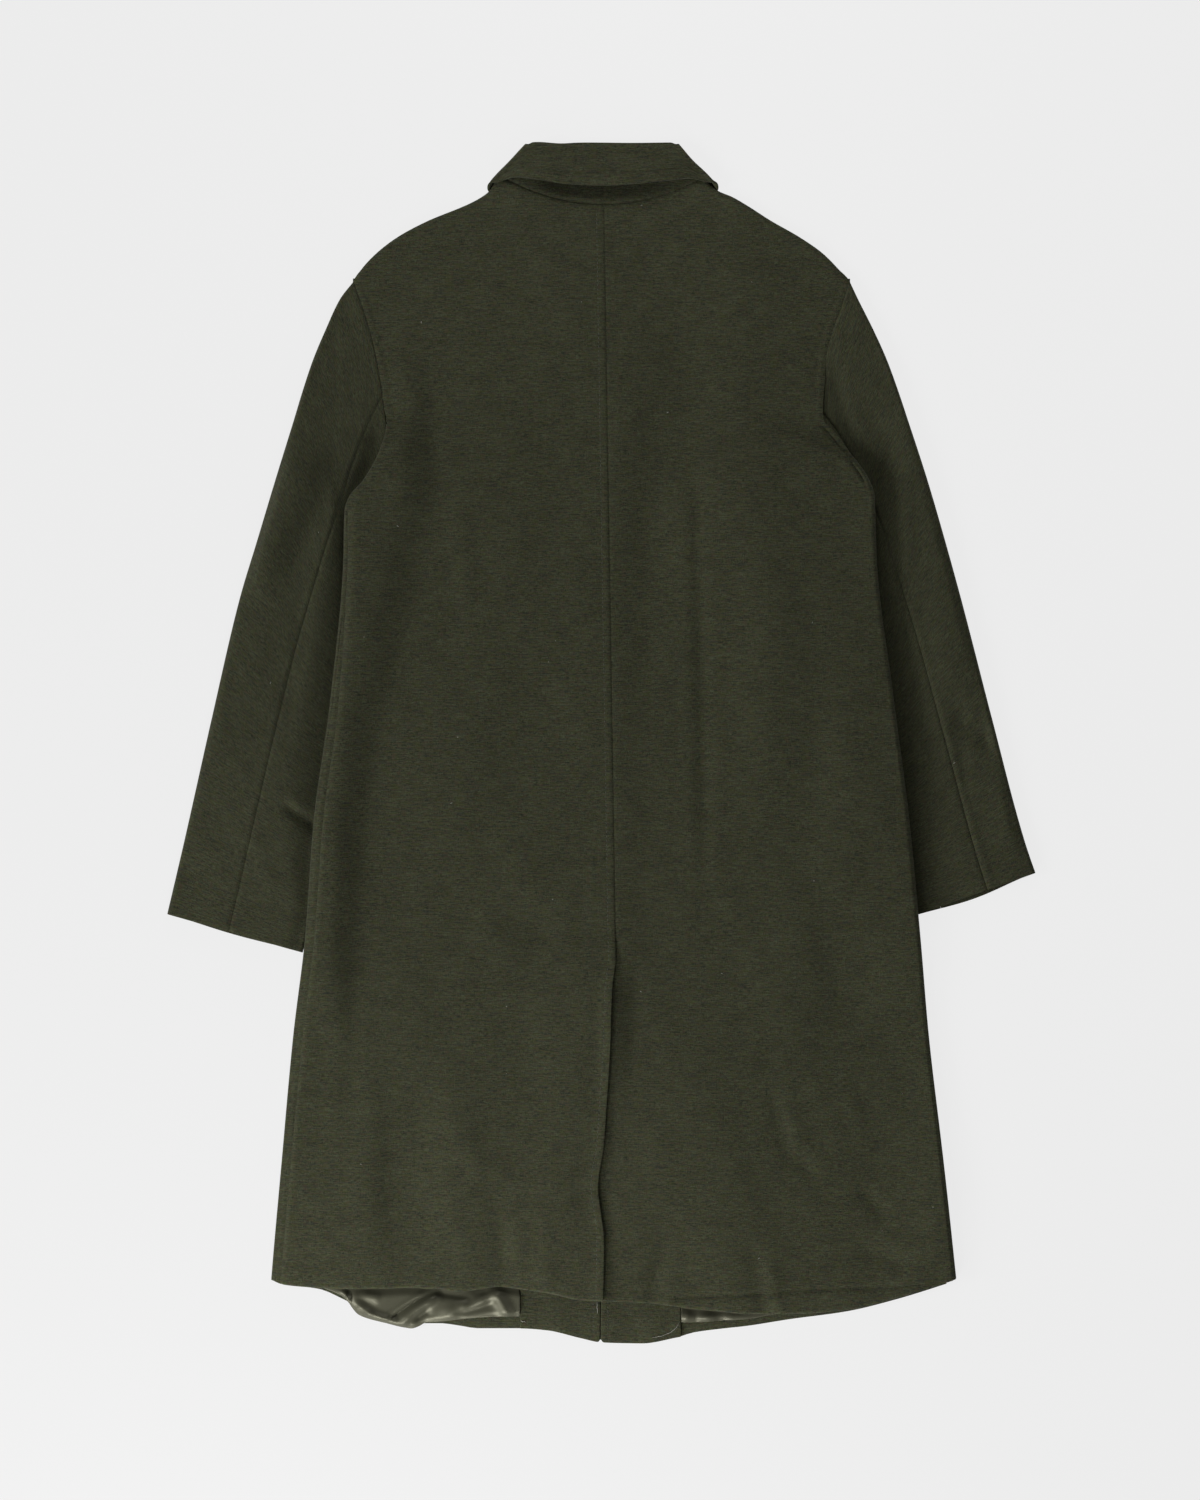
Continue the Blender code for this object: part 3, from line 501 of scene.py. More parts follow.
# Folds of the sleeves
SLEEVE_FOLDS = (
    Fold(-318, -60, -286, -84, 6, -3.0),
    Fold(-326, -44, -296, -62, 7, 0.7),
    Fold(-228, 335, -322, 238, 15, 2.6, 6),
    Fold(-294, 285, -345, 165, 22, 7.5),
    Fold(-260, 300, -314, 170, 14, -4.4),
    Fold(232, 372, 248, 305, 10, -2.8),
    Fold(-318, 260, -352, 60, 22, 2.0),
    Fold(-372, 20, -402, -120, 18, 1.8),
    Fold(-258, 316, -222, 300, 9, -1.2),
    Fold(-215, 322, -240, 258, 13, -2.2),
    Fold(-300, 150, -318, 20, 9, -1.3, 3),
    Fold(-346, -90, -330, -150, 9, 1.2),
    Fold(330, 230, 352, 60, 20, 2.0),
    Fold(392, 0, 356, 24, 12, -2.0),
    Fold(398, -20, 412, -110, 16, 1.8),
    Fold(300, 250, 318, 90, 9, 1.4, -3),
    Fold(346, 60, 366, -60, 8, -1.2, 3),
    Fold(262, 330, 292, 300, 9, -1.3),
)

# Satin creases where the lining comes out below the back
LINING_FOLDS = (
    Fold(-256, -546, -254, -560, 4, 3.0),
    Fold(-250.5, -547, -250.5, -561, 2.5, -2.4),
    Fold(-238, -548, -222, -556, 5, 1.8),
    Fold(-245, -559, -230, -570, 3.5, 3.2),
    Fold(-233, -569, -204, -579, 3.5, 3.4),
    Fold(-214, -574, -166, -545, 2.5, 2.4, 2),
    Fold(-211, -575, -163, -546, 3.2, -3.4, 2),
    Fold(-201, -580, -166, -554, 4.5, 5.0, 2),
    Fold(-186, -576, -172, -567, 5, -2.6),
    Fold(-163, -549, -134, -553, 4.5, -3.4),
    Fold(-157, -571, -111, -553, 8, 4.8, -1),
    Fold(-146, -571, -108, -559, 5, -3.6),
    Fold(-134, -559, -113, -546, 4, -3.2),
    Fold(-107, -546, -93, -571, 6, 4.6),
    Fold(-144, -574, -99, -573, 2.5, 2.2),
    Fold(84, -578, 87, -564, 3, 1.2),
    Fold(94, -579, 96, -564, 3.5, -1.2),
    Fold(104, -578, 112, -564, 6, 1.0),
    Fold(116, -578, 128, -565, 5, -1.4),
    Fold(126, -576, 146, -572, 4, 0.9),
)

# Slow unevenness of a sheet that has been worn and laid down
WAVES = (
    Wave(210, 340, 0.3, 0.70),
    Wave(-150, 260, 1.9, 0.55),
    Wave(95, -420, 4.1, 0.36),
    Wave(62, 130, 2.6, 0.18),
    Wave(-41, 78, 5.2, 0.10),
)

# Silhouette of the turned collar, from its roll line (0) to its outer edge (1)
COLLAR = (
    CollarRow(0.0, -77.0, 597.5, 78.0, 597.5, 0.5),
    CollarRow(0.35, -92.5, 580.5, 91.5, 581.5, 0.8),
    CollarRow(0.7, -106.0, 566.5, 106.0, 567.5, 1.5),
    CollarRow(0.85, -110.8, 560.5, 112.2, 560.4, 2.4),
    CollarRow(1.0, -114.4, 554.2, 117.4, 554.6, 5.0),
)

# Lower edge of the fall, which hooks down round the neck at both ends
FALL_EDGE = (
    LinePoint(560.5, -109.8),
    LinePoint(564.3, -104.0),
    LinePoint(565.2, -98.0),
    LinePoint(565.0, -90.0),
    LinePoint(563.0, -73.0),
    LinePoint(558.8, -48.0),
    LinePoint(556.6, -31.0),
    LinePoint(555.5, 2.0),
    LinePoint(557.2, 35.0),
    LinePoint(561.0, 68.5),
    LinePoint(563.5, 92.0),
    LinePoint(563.2, 101.0),
    LinePoint(561.4, 108.0),
    LinePoint(560.0, 112.5),
)

# Crease above the right hem and, below it, the rolled band
HEM_CREASE = (
    LinePoint(-553, 76.0),
    LinePoint(-551, 130.0),
    LinePoint(-546, 200.0),
    LinePoint(-543, 280.0),
    LinePoint(-538, 344.0),
)

# Small rises and dips of the collar's upper edge
COLLAR_BUMPS = (
    Bump(-62, 9, 0.5),
    Bump(-40, 12, -0.9),
    Bump(30, 25, -0.4),
)

# Lines pressed into the cloth by seams and stitches; a negative depth is a roll
GROOVES = {
    "centre_left": Groove(0.5, 1.2),
    "centre_right": Groove(0.5, 1.5),
    "topstitch": Groove(0.45, 1.3, STITCH_INSET),
    "neck": Groove(0.6, 1.6),
    "armhole": Groove(0.9, 2.2),
    "armhole_allowance": Groove(0.3, 1.6, 8.0),
    "side_seam": Groove(1.2, 2.2),
    "diagonal_fold": Groove(1.7, 1.4, 6.0),
    "hem_crease": Groove(1.1, 2.2),
    "hem_roll": Groove(-0.7, 6.0, -8.0),
    "sleeve_left": Groove(1.4, 2.2),
    "sleeve_right": Groove(0.8, 2.2),
    "sleeve_armhole": Groove(0.5, 2.2),
    "cuff": Groove(0.25, 3.0, 14.0),
    "facing": Groove(0.4, 1.3, STITCH_INSET),
    "fall_ridge": Groove(0.9, 0.03, FALL_RIDGE),
    "stand": Groove(1.2, 2.2),
    "stand_centre": Groove(0.4, 1.4),
}

# Bands beside an edge or a seam that lie higher, or lower, than the cloth beyond
STRIPS = {
    "topstitch": Strip(0.45, STITCH_INSET, 2.5),
    "armhole": Strip(0.35, 6.0, 2.5),
    "diagonal_fold": Strip(-0.5, 4.5, 2.0),
    "sleeve": Strip(0.3, 6.0, 3.0),
    "cuff": Strip(-0.3, 0.0, 3.0),
    "facing": Strip(-0.3, 0.0, 2.0),
    "lining": Strip(-3.2, 0.0, 5.0),
}

# Where a relief starts and ends: levels for the first two, places across for the hem
SPANS = {
    "armhole": Span(CHEST_Y, 8.0, SHOULDER_Y, 6.0),
    "diagonal_fold": Span(252.0, 12.0, CHEST_Y, 10.0),
    "hem_crease": Span(60.0, 30.0, 344.0, 40.0),
}

# Noise of wool and satin: cells in a metre along weft and warp, detail, weights in tone and height
WOOL_NOISE = (
    Noise((60.0, 640.0), 1.0, 1.3, 0.0),
    Noise((220.0, 840.0), 1.0, 2.3, 0.9),
    Noise((760.0, 240.0), 1.0, 1.1, 0.8),
    Noise((900.0, 900.0), 1.0, 1.8, 0.7),
    Noise((36.0, 64.0), 3.0, 0.8, 0.0),
)
# Satin: fine yarn streaks, then slow patches, both mixing its painted shade and painted light
SATIN_NOISE = (
    Noise((2200.0, 220.0), 2.0, 0.6, 1.0),
    Noise((60.0, 60.0), 3.0, 0.9, 0.0),
)

# Coloured flecks of the wool, then its small light neps
FLECKS = (
    Fleck("Slate", (60.0, 480.0)),
    Fleck("Olive", (95.0, 560.0)),
    Fleck("Rust", (190.0, 760.0)),
)
FLECK_DETAIL = 2.0
FLECK_GAIN = 3.0
FLECK_START = -1.4
FLECK_MOST = 0.5
NEP_CELLS = 42.0
NEP_PICK = 0.93
NEP_RADIUS = 0.028
NEP_SHARE = 0.6

# Finish of the materials
WOOL_FINISH = Finish(0.92, 0.04, 0.1)
SATIN_FINISH = Finish(0.46, 0.0, 0.55)
SATIN_DEPTH = 0.00008
SHEEN_ROUGHNESS = 0.5
RELIEF_STRENGTH = 0.8
YARN_ROUGHNESS = 0.7
YARN_CELLS = (900.0, 900.0)
YARN_DETAIL = 2.0
YARN_DARK = 0.6
YARN_LIGHT = 1.3
FLOOR_ROUGHNESS = 0.9
FLOOR_GLOSS = 0.1

# Topstitching
STITCH_LENGTH = 3.0
STITCH_PITCH = 4.4
STITCH_SINK = 0.5
STITCH_DIVE = (1.0, 0.0, 0.0, 1.0)
STITCH_RISE = 0.12
STITCH_RADIUS = 0.32
SEAM_STITCHES_Y = (NECK_Y - 8.0, VENT_TOP_Y - 2.0)
VENT_STITCHES_Y = (VENT_TOP_Y - 6.0, -549.0)
FACING_STITCHES_Y = {"left": (-550.0, -590.0), "right": (-553.0, -593.0)}
SEAM_POINTS = 200
VENT_POINTS = 90
FACING_POINTS = 20

# Round section and pointed ends of threads and fibres
YARN_SIDES = 6
YARN_END = 0.25
YARN_SWELL = 1.6
YARN_LEAST = 0.3

# Small light fibres on the cloth, then thread ends
LINT = (
    (40, 537), (-203, 216), (-282, 210), (280, -487), (157, -514), (39, -248), (-46, 102),
    (-53, 81), (-150, -60), (120, -230), (-95, -330), (210, 120), (66, 330), (-240, -420),
    (300, -350), (-330, 60), (352, -20), (-20, 440), (150, 460), (-180, 420),
)
LINT_RADIUS = 0.28
LINT_RISE = 0.25
LINT_TURN = 2.4
LINT_REACH = 0.8
LINT_REACH_CHANGE = 0.5
LINT_REACH_TURN = 1.7
LINT_BEND = 0.2
LINT_POINTS = 5
STRAY_THREADS = (
    ((-4.8, -558.0), (-4.2, -561.0), (-4.6, -564.0), (-3.9, -567.0), (-4.3, -570.0)),
    ((-80.5, -577.0), (-79.0, -578.2), (-77.0, -577.6), (-75.5, -578.8)),
    ((50.5, -594.0), (60.0, -592.5), (69.0, -589.0), (75.0, -584.0), (78.0, -578.0)),
)
THREAD_RISE = 0.3

# Stage, in metres and watts
FLOOR_SIZE = 12.0
FLOOR_CELLS = 8
FLOOR_SHARE = 0.05
CAMERA_HEIGHT = 5.0
FRAME_HEIGHT = 1.5
FRAME_CENTRE = (-0.0015, -0.007)
SENSOR = 24.0
WORLD_LIGHT = 0.07
ABOVE_ALL = 0.1
LAMPS = (
    Lamp("side", (-4.8, -1.0, 2.1), 264.0, 1.6),
    Lamp("fill", (5.2, 0.4, 1.2), 62.0, 1.6),
    Lamp("low", (-0.45, -1.45, 0.68), 24.0, 0.7),
    Lamp("high", (0.1, 1.25, 0.6), 6.5, 0.5),
)


class CoatSizes(bpy.types.PropertyGroup):
    """Sizes of the cloth and its surface."""

    wool: bpy.props.FloatProperty(
        name="Wool", description="Thickness of the wool", default=2 * WOOL_HALF * MM, unit="LENGTH")
    facing: bpy.props.FloatProperty(
        name="Facing", description="Thickness of the facings", default=0.0018, unit="LENGTH")
    lining: bpy.props.FloatProperty(
        name="Lining", description="Thickness of the lining", default=0.0012, unit="LENGTH")
    edge: bpy.props.FloatProperty(
        name="Edge", description="Rounding of cut edges", default=0.0007, unit="LENGTH")
    weave: bpy.props.FloatProperty(
        name="Weave", description="Depth of the weave", default=0.0004, unit="LENGTH")


class CoatColours(bpy.types.PropertyGroup):
    """Colours of the cloth, the lining and the surface below."""

    wool_dark: bpy.props.FloatVectorProperty(
        name="Wool dark", description="Dark yarns of the wool", subtype="COLOR", size=3,
        default=(0.0124, 0.0145, 0.0080))
    wool_light: bpy.props.FloatVectorProperty(
        name="Wool light", description="Light yarns of the wool", subtype="COLOR", size=3,
        default=(0.0455, 0.0525, 0.0290))
    wool_slate: bpy.props.FloatVectorProperty(
        name="Wool slate", description="Blue grey flecks of the wool", subtype="COLOR", size=3,
        default=(0.0182, 0.0205, 0.0175))
    wool_olive: bpy.props.FloatVectorProperty(
        name="Wool olive", description="Olive flecks of the wool", subtype="COLOR", size=3,
        default=(0.0320, 0.0372, 0.0085))
    wool_rust: bpy.props.FloatVectorProperty(
        name="Wool rust", description="Rust flecks of the wool", subtype="COLOR", size=3,
        default=(0.0450, 0.0290, 0.0190))
    # Painted shade and painted light of the satin: one colour darkened, one lightened, mixed by noise
    satin_painted_shade: bpy.props.FloatVectorProperty(
        name="Satin painted shade", description="Satin in the shade", subtype="COLOR", size=3,
        default=(0.025, 0.025, 0.016))
    satin_painted_light: bpy.props.FloatVectorProperty(
        name="Satin painted light", description="Satin in the light", subtype="COLOR", size=3,
        default=(0.057, 0.057, 0.037))
    satin_gloss: bpy.props.FloatVectorProperty(
        name="Satin gloss", description="Tint of the satin's gloss", subtype="COLOR", size=3,
        default=(1.0, 0.97, 0.75))
    thread: bpy.props.FloatVectorProperty(
        name="Thread", description="Sewing thread", subtype="COLOR", size=3,
        default=(0.036, 0.037, 0.024))
    lint: bpy.props.FloatVectorProperty(
        name="Lint", description="Lint and stray threads", subtype="COLOR", size=3,
        default=(0.20, 0.20, 0.17))
    floor: bpy.props.FloatVectorProperty(
        name="Floor", description="Surface below the coat", subtype="COLOR", size=3,
        default=(0.84, 0.84, 0.84))


def smoothstep(value):
    """Ease from 0 to 1."""
    value = np.clip(value, 0.0, 1.0)
    return value * value * (3.0 - 2.0 * value)


def mix(first, second, share):
    """Go from the first value to the second."""
    return first + (second - first) * share


def ridge(distance, width):
    """Soft ridge of height 1."""
    return np.exp(-(distance / width) ** 2)


def groove(kind, distance):
    """Height of a pressed line, below zero, at a distance from its seam or edge."""
    line = GROOVES[kind]
    return -line.depth * ridge(distance - line.inset, line.width)


def strip(kind, distance):
    """Height of a band beside an edge or a seam."""
    band = STRIPS[kind]
    return band.height * (1.0 - smoothstep((distance - band.width) / band.soft))


def window(kind, at):
    """Ease in at the start of a span and out at its end."""
    span = SPANS[kind]
    return smoothstep((at - span.start) / span.start_run) * smoothstep((span.end - at) / span.end_run)


def quarter_round(radius, from_edge):
    """Drop of a quarter round at a distance from its edge."""
    inset = radius - np.minimum(radius, from_edge)
    return radius - np.sqrt(np.maximum(0.0, radius ** 2 - inset ** 2))


def read_table(rows, key, column, at):
    """Read a column at a key between the rows, smoothly and with no overshoot."""
    ordered = sorted(rows, key=lambda row: getattr(row, key))
    keys = np.array([getattr(row, key) for row in ordered], dtype=float)
    values = np.array([getattr(row, column) for row in ordered], dtype=float)
    steps = np.diff(values) / np.diff(keys)
    before = np.concatenate((steps[:1], steps))
    after = np.concatenate((steps, steps[-1:]))
    same_way = before * after > 0.0
    total = np.where(same_way, before + after, 1.0)
    slopes = np.where(same_way, 2.0 * before * after / total, 0.0)
    at = np.clip(at, keys[0], keys[-1])
    index = np.clip(np.searchsorted(keys, at, side="right") - 1, 0, len(steps) - 1)
    span = keys[index + 1] - keys[index]
    t = (at - keys[index]) / span
    return (
        values[index] * (1 + 2 * t) * (1 - t) ** 2
        + span * slopes[index] * t * (1 - t) ** 2
        + values[index + 1] * t * t * (3 - 2 * t)
        + span * slopes[index + 1] * t * t * (t - 1)
    )


def fold_height(folds, x, y):
    """Add up the soft ridges and troughs at a place."""
    total = np.zeros(np.broadcast(x, y).shape)
    for fold in folds:
        run_x = fold.x_end - fold.x_start
        run_y = fold.y_end - fold.y_start
        length = math.hypot(run_x, run_y)
        along = ((x - fold.x_start) * run_x + (y - fold.y_start) * run_y) / length ** 2
        off_line = ((x - fold.x_start) * run_y - (y - fold.y_start) * run_x) / length
        off_line = off_line + fold.bow * np.sin(math.pi * np.clip(along, 0.0, 1.0))
        ends = smoothstep((along + FOLD_TAPER) / (2 * FOLD_TAPER))
        ends = ends * smoothstep((1 + FOLD_TAPER - along) / (2 * FOLD_TAPER))
        total = total + fold.height * ends * ridge(off_line, fold.width)
    return total


def unevenness(x, y):
    """Slow waves over the whole cloth."""
    return sum(
        wave.height * np.sin(math.tau * (x / wave.x_pitch + y / wave.y_pitch) + wave.phase)
        for wave in WAVES
    )


def outer_sign(side):
    """Tell which way is outwards."""
    return -1.0 if side == "left" else 1.0


def body_edge(side, y):
    """Outermost line of the body as seen from above."""
    return read_table(BACK_EDGE, "y", side, y)


def edge_stretch(side, y):
    """Length along a row for each millimetre square to the body's edge."""
    change = body_edge(side, y + SLOPE_STEP) - body_edge(side, y - SLOPE_STEP)
    return np.sqrt(1.0 + (change / (2 * SLOPE_STEP)) ** 2)


def sleeve_inner(side, y):
    """Innermost line of the sleeve under the body: armhole, then the inner fold."""
    cuff = CUFFS[side]
    share = np.clip((UNDERARM_Y - y) / (UNDERARM_Y - cuff.inner_y), 0.0, 1.0)
    below = mix(getattr(ARMHOLE[-1], side), cuff.inner_x, share)
    return np.where(y >= UNDERARM_Y, read_table(ARMHOLE, "y", side, y), below)


def lift_ramp(side, x, y):
    """Share of the back's rise over the sleeve, from the middle outwards."""
    if side == "left":
        line = read_table(LIFT_LINE, "y", "x", y)
        half = read_table(LIFT_LINE, "y", "half", y)
        return smoothstep(0.5 + 0.5 * (line - x) / half)
    above = getattr(ARMHOLE[-1], side) + LIFT_LEAN * (y - UNDERARM_Y)
    line = np.where(y >= UNDERARM_Y, above, sleeve_inner(side, y)) - RAMP_END
    return smoothstep(1.0 + (x - line) / np.minimum(BACK_RAMP, line - RAMP_FOOT))


def lift_share(side, y):
    """How far the body is raised by the sleeve: not at all well below the cuff."""
    return smoothstep((y - CUFFS[side].inner_y + LIFT_TAIL) / LIFT_FADE)


def front_height(side, x, y):
    """Middle of the front panel, on the floor or over the sleeve."""
    inward = (sleeve_inner(side, y) - x) * outer_sign(side)
    ramp = smoothstep((RAMP_START - inward) / (RAMP_START - RAMP_END))
    return FLOOR_LAYER + BODY_LIFT * ramp * lift_share(side, y)


def back_height(side, x, y):
    """Middle of the back panel, over the front and its folds."""
    by_armhole = smoothstep((ARMHOLE_RISE_Y - y) / ARMHOLE_RISE_RUN[side]) * ARMHOLE_RISE[side]
    rise = mix(by_armhole, 1.0, smoothstep((CHEST_Y - y) / (CHEST_Y - UNDERARM_Y)))
    lift = read_table(BACK_LIFT, "y", side, y) * lift_ramp(side, x, y) * rise * lift_share(side, y)
    from_edge = np.abs(x - body_edge(side, y))
    if side == "left":
        chest = smoothstep((y - LEFT_LIFT_Y) / LEFT_LIFT_RUN)
        lift = lift * mix(1.0, smoothstep(from_edge / LEFT_LIFT_INSET), chest)
    from_neck = NECK_Y - y + NECK_RISE
    soft = mix(CALM_SIDE[side], CALM_ARMHOLE, smoothstep((y - CALM_TOP_Y + CALM_RUN) / CALM_RUN))
    calm = smoothstep(from_edge / soft) * smoothstep(from_neck / CALM_NECK)
    folds = np.maximum(-BACK_PUFF, fold_height(BACK_FOLDS, x, y) + unevenness(x, y))
    return FLOOR_LAYER + BACK_OVER_FRONT + lift + (BACK_PUFF + folds) * calm


def centre_back(y):
    """Centre back seam, which leans a little to the right on its way down."""
    share = np.clip((NECK_Y - y) / (NECK_Y - VENT_TOP_Y), 0.0, 1.0)
    return CENTRE_BACK + CENTRE_BACK_LEAN * share


def vent_edge(y):
    """Free edge of the vent."""
    return read_table(VENT_EDGE, "y", "x", y)


def back_inner(side, y):
    """Inner edge of a back panel: neck seam, centre seam, then the vent."""
    neck = NECK_HALF * np.sqrt(np.maximum(0.0, y - NECK_Y) / NECK_RISE)
    line = centre_back(y) + outer_sign(side) * (neck + SEAM_GAP / 2)
    if side == "right":
        return line
    return np.where(y < VENT_TOP_Y, vent_edge(y), line)


def vent_rise(x, y):
    """The left panel is raised where it covers the underlap, and its edge curls up a little."""
    down = smoothstep((VENT_TOP_Y + VENT_COVER_TOP - y) / VENT_COVER_RUN)
    cover = VENT_LIFT * down * smoothstep((x - centre_back(y) + VENT_COVER_REACH) / VENT_COVER_RUN)
    curl = VENT_CURL * smoothstep((VENT_TOP_Y - y) / VENT_CURL_RUN)
    curl = curl + VENT_PEAK * ridge(y - VENT_PEAK_Y, VENT_PEAK_RUN)
    return cover + curl * (1.0 - smoothstep((vent_edge(y) - x) / VENT_CURL_WIDTH))


def hem_level(y, x, column, inset=0.0):
    """Move the lowest rows onto the hem."""
    hem = read_table(HEM, "x", column, x) + inset
    low = HEM_BLEND_Y + (y - HEM_BLEND_Y) * (hem - HEM_BLEND_Y) / (HEM_ROW_Y - HEM_BLEND_Y)
    return np.where(y >= HEM_BLEND_Y, y, low)


def side_strip(y):
    """Width of the left front's strip that comes round to the upper side."""
    return mix(STRIP_TOP, STRIP_HEM, smoothstep((SIDE_WRAP_Y - y) / STRIP_RUN))


def levels(marks, step):
    """Levels from the top mark down to the lowest, close to even and with every mark."""
    rows = []
    for high, low in zip(marks, marks[1:]):
        count = max(1, round((high - low) / step))
        rows += list(np.linspace(high, low, count, endpoint=False))
    return np.array(rows + [marks[-1]])


def places(inner, outer, inner_steps, outer_steps, count):
    """Columns across each row, close together by both edges and even between them."""
    width = np.abs(outer - inner)[:, None]
    way = np.sign(outer - inner)[:, None]
    squeeze = np.minimum(1.0, CLOSE_SHARE * width / (inner_steps[-1] + outer_steps[-1]))
    first = squeeze * np.array(inner_steps)[None, :]
    last = width - squeeze * np.array(outer_steps)[None, ::-1]
    share = np.linspace(0.0, 1.0, count + 2)[None, 1:-1]
    return inner[:, None] + way * beside(first, mix(first[:, -1:], last[:, :1], share), last)


def stack(x, y, z):
    """Join coordinates to a grid of points."""
    return np.stack(np.broadcast_arrays(x, y, z), axis=-1)


def beside(*grids):
    """Join grids side by side, row by row."""
    return np.concatenate(grids, axis=1)


def between(first, last, count):
    """Even columns across each row, from one line to another."""
    return mix(first[:, None], last[:, None], np.linspace(0.0, 1.0, count)[None, :])


def row_levels(y, x):
    """Level of each place in its row."""
    return np.broadcast_to(y[:, None], x.shape)


def unit(vectors):
    """The same vectors with a length of 1."""
    return vectors / np.maximum(np.linalg.norm(vectors, axis=1, keepdims=True), LEAST_LENGTH)


def weave_places(points, side):
    """Weave map of a panel: lengths along each row, and levels."""
    steps = np.linalg.norm(np.diff(points, axis=1), axis=2)
    run = beside(np.zeros((len(points), 1)), np.cumsum(steps, axis=1))
    return stack(points[:, :1, 0] + outer_sign(side) * run, points[..., 1], 0.0)[..., :2]


def turn_under(points, radius, depth):
    """Turn the last row of a grid under itself, as a hem."""
    last = points[-1]
    out = last - points[-2]
    out[:, 2] = 0.0
    out = unit(out)
    down = np.array((0.0, 0.0, -1.0))
    extra = [
        last + out * radius * math.sin(turn) + down * radius * (1.0 - math.cos(turn))
        for turn in np.linspace(0.0, math.pi, HEM_TURNS)[1:]
    ]
    extra.append(last - out * depth + down * 2.0 * radius)
    return np.concatenate((points, np.array(extra)), axis=0)


def activate(piece):
    """Select a piece alone."""
    bpy.ops.object.select_all(action="DESELECT")
    piece.select_set(True)
    bpy.context.view_layer.objects.active = piece


def finish_piece(piece, material):
    """Give a piece its material and its place in the part."""
    piece.data.materials.append(material)
    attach(piece, BODY)


def cloth(node, points, material, grain=None, keep=None, thickness=None):
    """Make a sheet from a grid of middle points, with its weave map, thickness and round edges.

    Without values of their own, the weave lies as seen from above, every point is kept, and the
    sheet is as thick as the wool.
    """
    sizes = bpy.context.scene.coat_sizes
    if grain is None:
        grain = points[..., :2]
    if keep is None:
        keep = np.ones(points.shape[:2], dtype=bool)
    index = np.where(keep, np.arange(keep.size).reshape(keep.shape), -1)
    quads = np.stack((index[:-1, :-1], index[:-1, 1:], index[1:, 1:], index[1:, :-1]), axis=-1)
    quads = quads.reshape(-1, 4)
    quads = quads[(quads >= 0).all(axis=1)]
    used, quads = np.unique(quads, return_inverse=True)
    quads = quads.reshape(-1, 4)
    mesh = bpy.data.meshes.new(node + "_cloth")
    mesh.from_pydata((points.reshape(-1, 3)[used] * MM).tolist(), [], quads.tolist())
    weave_map = mesh.uv_layers.new(name=CLOTH_UV)
    weave_map.data.foreach_set("uv", (grain.reshape(-1, 2)[used] * MM)[quads.ravel()].ravel())
    piece = bpy.data.objects.new(node + "_cloth", mesh)
    bpy.context.scene.collection.objects.link(piece)
    activate(piece)
    wall = piece.modifiers.new("Wall", "SOLIDIFY")
    wall.thickness = sizes.wool if thickness is None else thickness
    wall.offset = 0.0
    wall.use_quality_normals = True
    bpy.ops.object.modifier_apply(modifier=wall.name)
    edge = piece.modifiers.new("Edge", "BEVEL")
    edge.width = sizes.edge
    edge.segments = EDGE_SEGMENTS
    edge.limit_method = "ANGLE"
    edge.angle_limit = math.radians(EDGE_ANGLE)
    bpy.ops.object.modifier_apply(modifier=edge.name)
    bpy.ops.object.shade_smooth()
    finish_piece(piece, material)
    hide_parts(node)
    return piece


def seam_relief(side, x, y):
    """Seams that run round a back panel: centre back, neck and armhole."""
    from_line = np.abs(x - centre_back(y))
    if side == "left":
        closed = smoothstep((y - VENT_TOP_Y + VENT_FADE / 2) / VENT_FADE)
        from_line = np.where(y < VENT_TOP_Y, np.abs(vent_edge(y) - x), from_line)
        centre = strip("topstitch", from_line) + groove("topstitch", from_line)
    else:
        closed = smoothstep((y - VENT_TOP_Y) / VENT_FADE)
        centre = 0.0
    below_neck = smoothstep((NECK_Y - y) / NECK_FADE)
    centre = (centre + closed * groove("centre_" + side, from_line)) * below_neck
    across = (x - centre_back(y)) / NECK_HALF
    neck = groove("neck", NECK_Y + NECK_RISE * across ** 2 - y) * (np.abs(across) < NECK_END)
    from_edge = np.abs(x - body_edge(side, y)) / edge_stretch(side, y)
    allowance = strip("armhole", from_edge) + groove("armhole_allowance", from_edge)
    return centre + neck + window("armhole", y) * (allowance + groove("armhole", from_edge))


def side_relief(side, x, y):
    """Rounded shoulder, the strip along the right diagonal fold and the left side seam."""
    inwards = np.abs(x - body_edge(side, y))
    from_edge = inwards / edge_stretch(side, y)
    above = smoothstep((y - SHOULDER_Y + SHOULDER_FADE_START) / SHOULDER_FADE)
    shoulder = -SHOULDER_DROP * quarter_round(SHOULDER_ROLL, from_edge) * above
    if side == "left":
        below = smoothstep((SIDE_WRAP_Y - y) / SIDE_SEAM_FADE)
        return shoulder + groove("side_seam", inwards - side_strip(y)) * below
    fold = strip("diagonal_fold", from_edge) + groove("diagonal_fold", from_edge)
    return shoulder + window("diagonal_fold", y) * fold


def hem_relief(side, x, y):
    """Crease above the right hem and the soft roll below it."""
    if side == "left":
        return 0.0
    above = hem_level(y, x, "back", HEM_INSET) - read_table(HEM_CREASE, "x", "y", x)
    return window("hem_crease", x) * (groove("hem_crease", above) + groove("hem_roll", above))


def back_surface(side, x, y):
    """Middle of the back panel with all its relief."""
    z = back_height(side, x, y) + seam_relief(side, x, y) + side_relief(side, x, y)
    z = z + hem_relief(side, x, y)
    if side == "left":
        z = z + vent_rise(x, y)
    return z


def roll_size(side, y, z_top, low):
    """Radius of the half round at the side, and how far it reaches out."""
    radius = np.maximum(LEAST_ROLL, (z_top - low) / 2)
    return radius, ROLL_REACH * radius * edge_stretch(side, y)


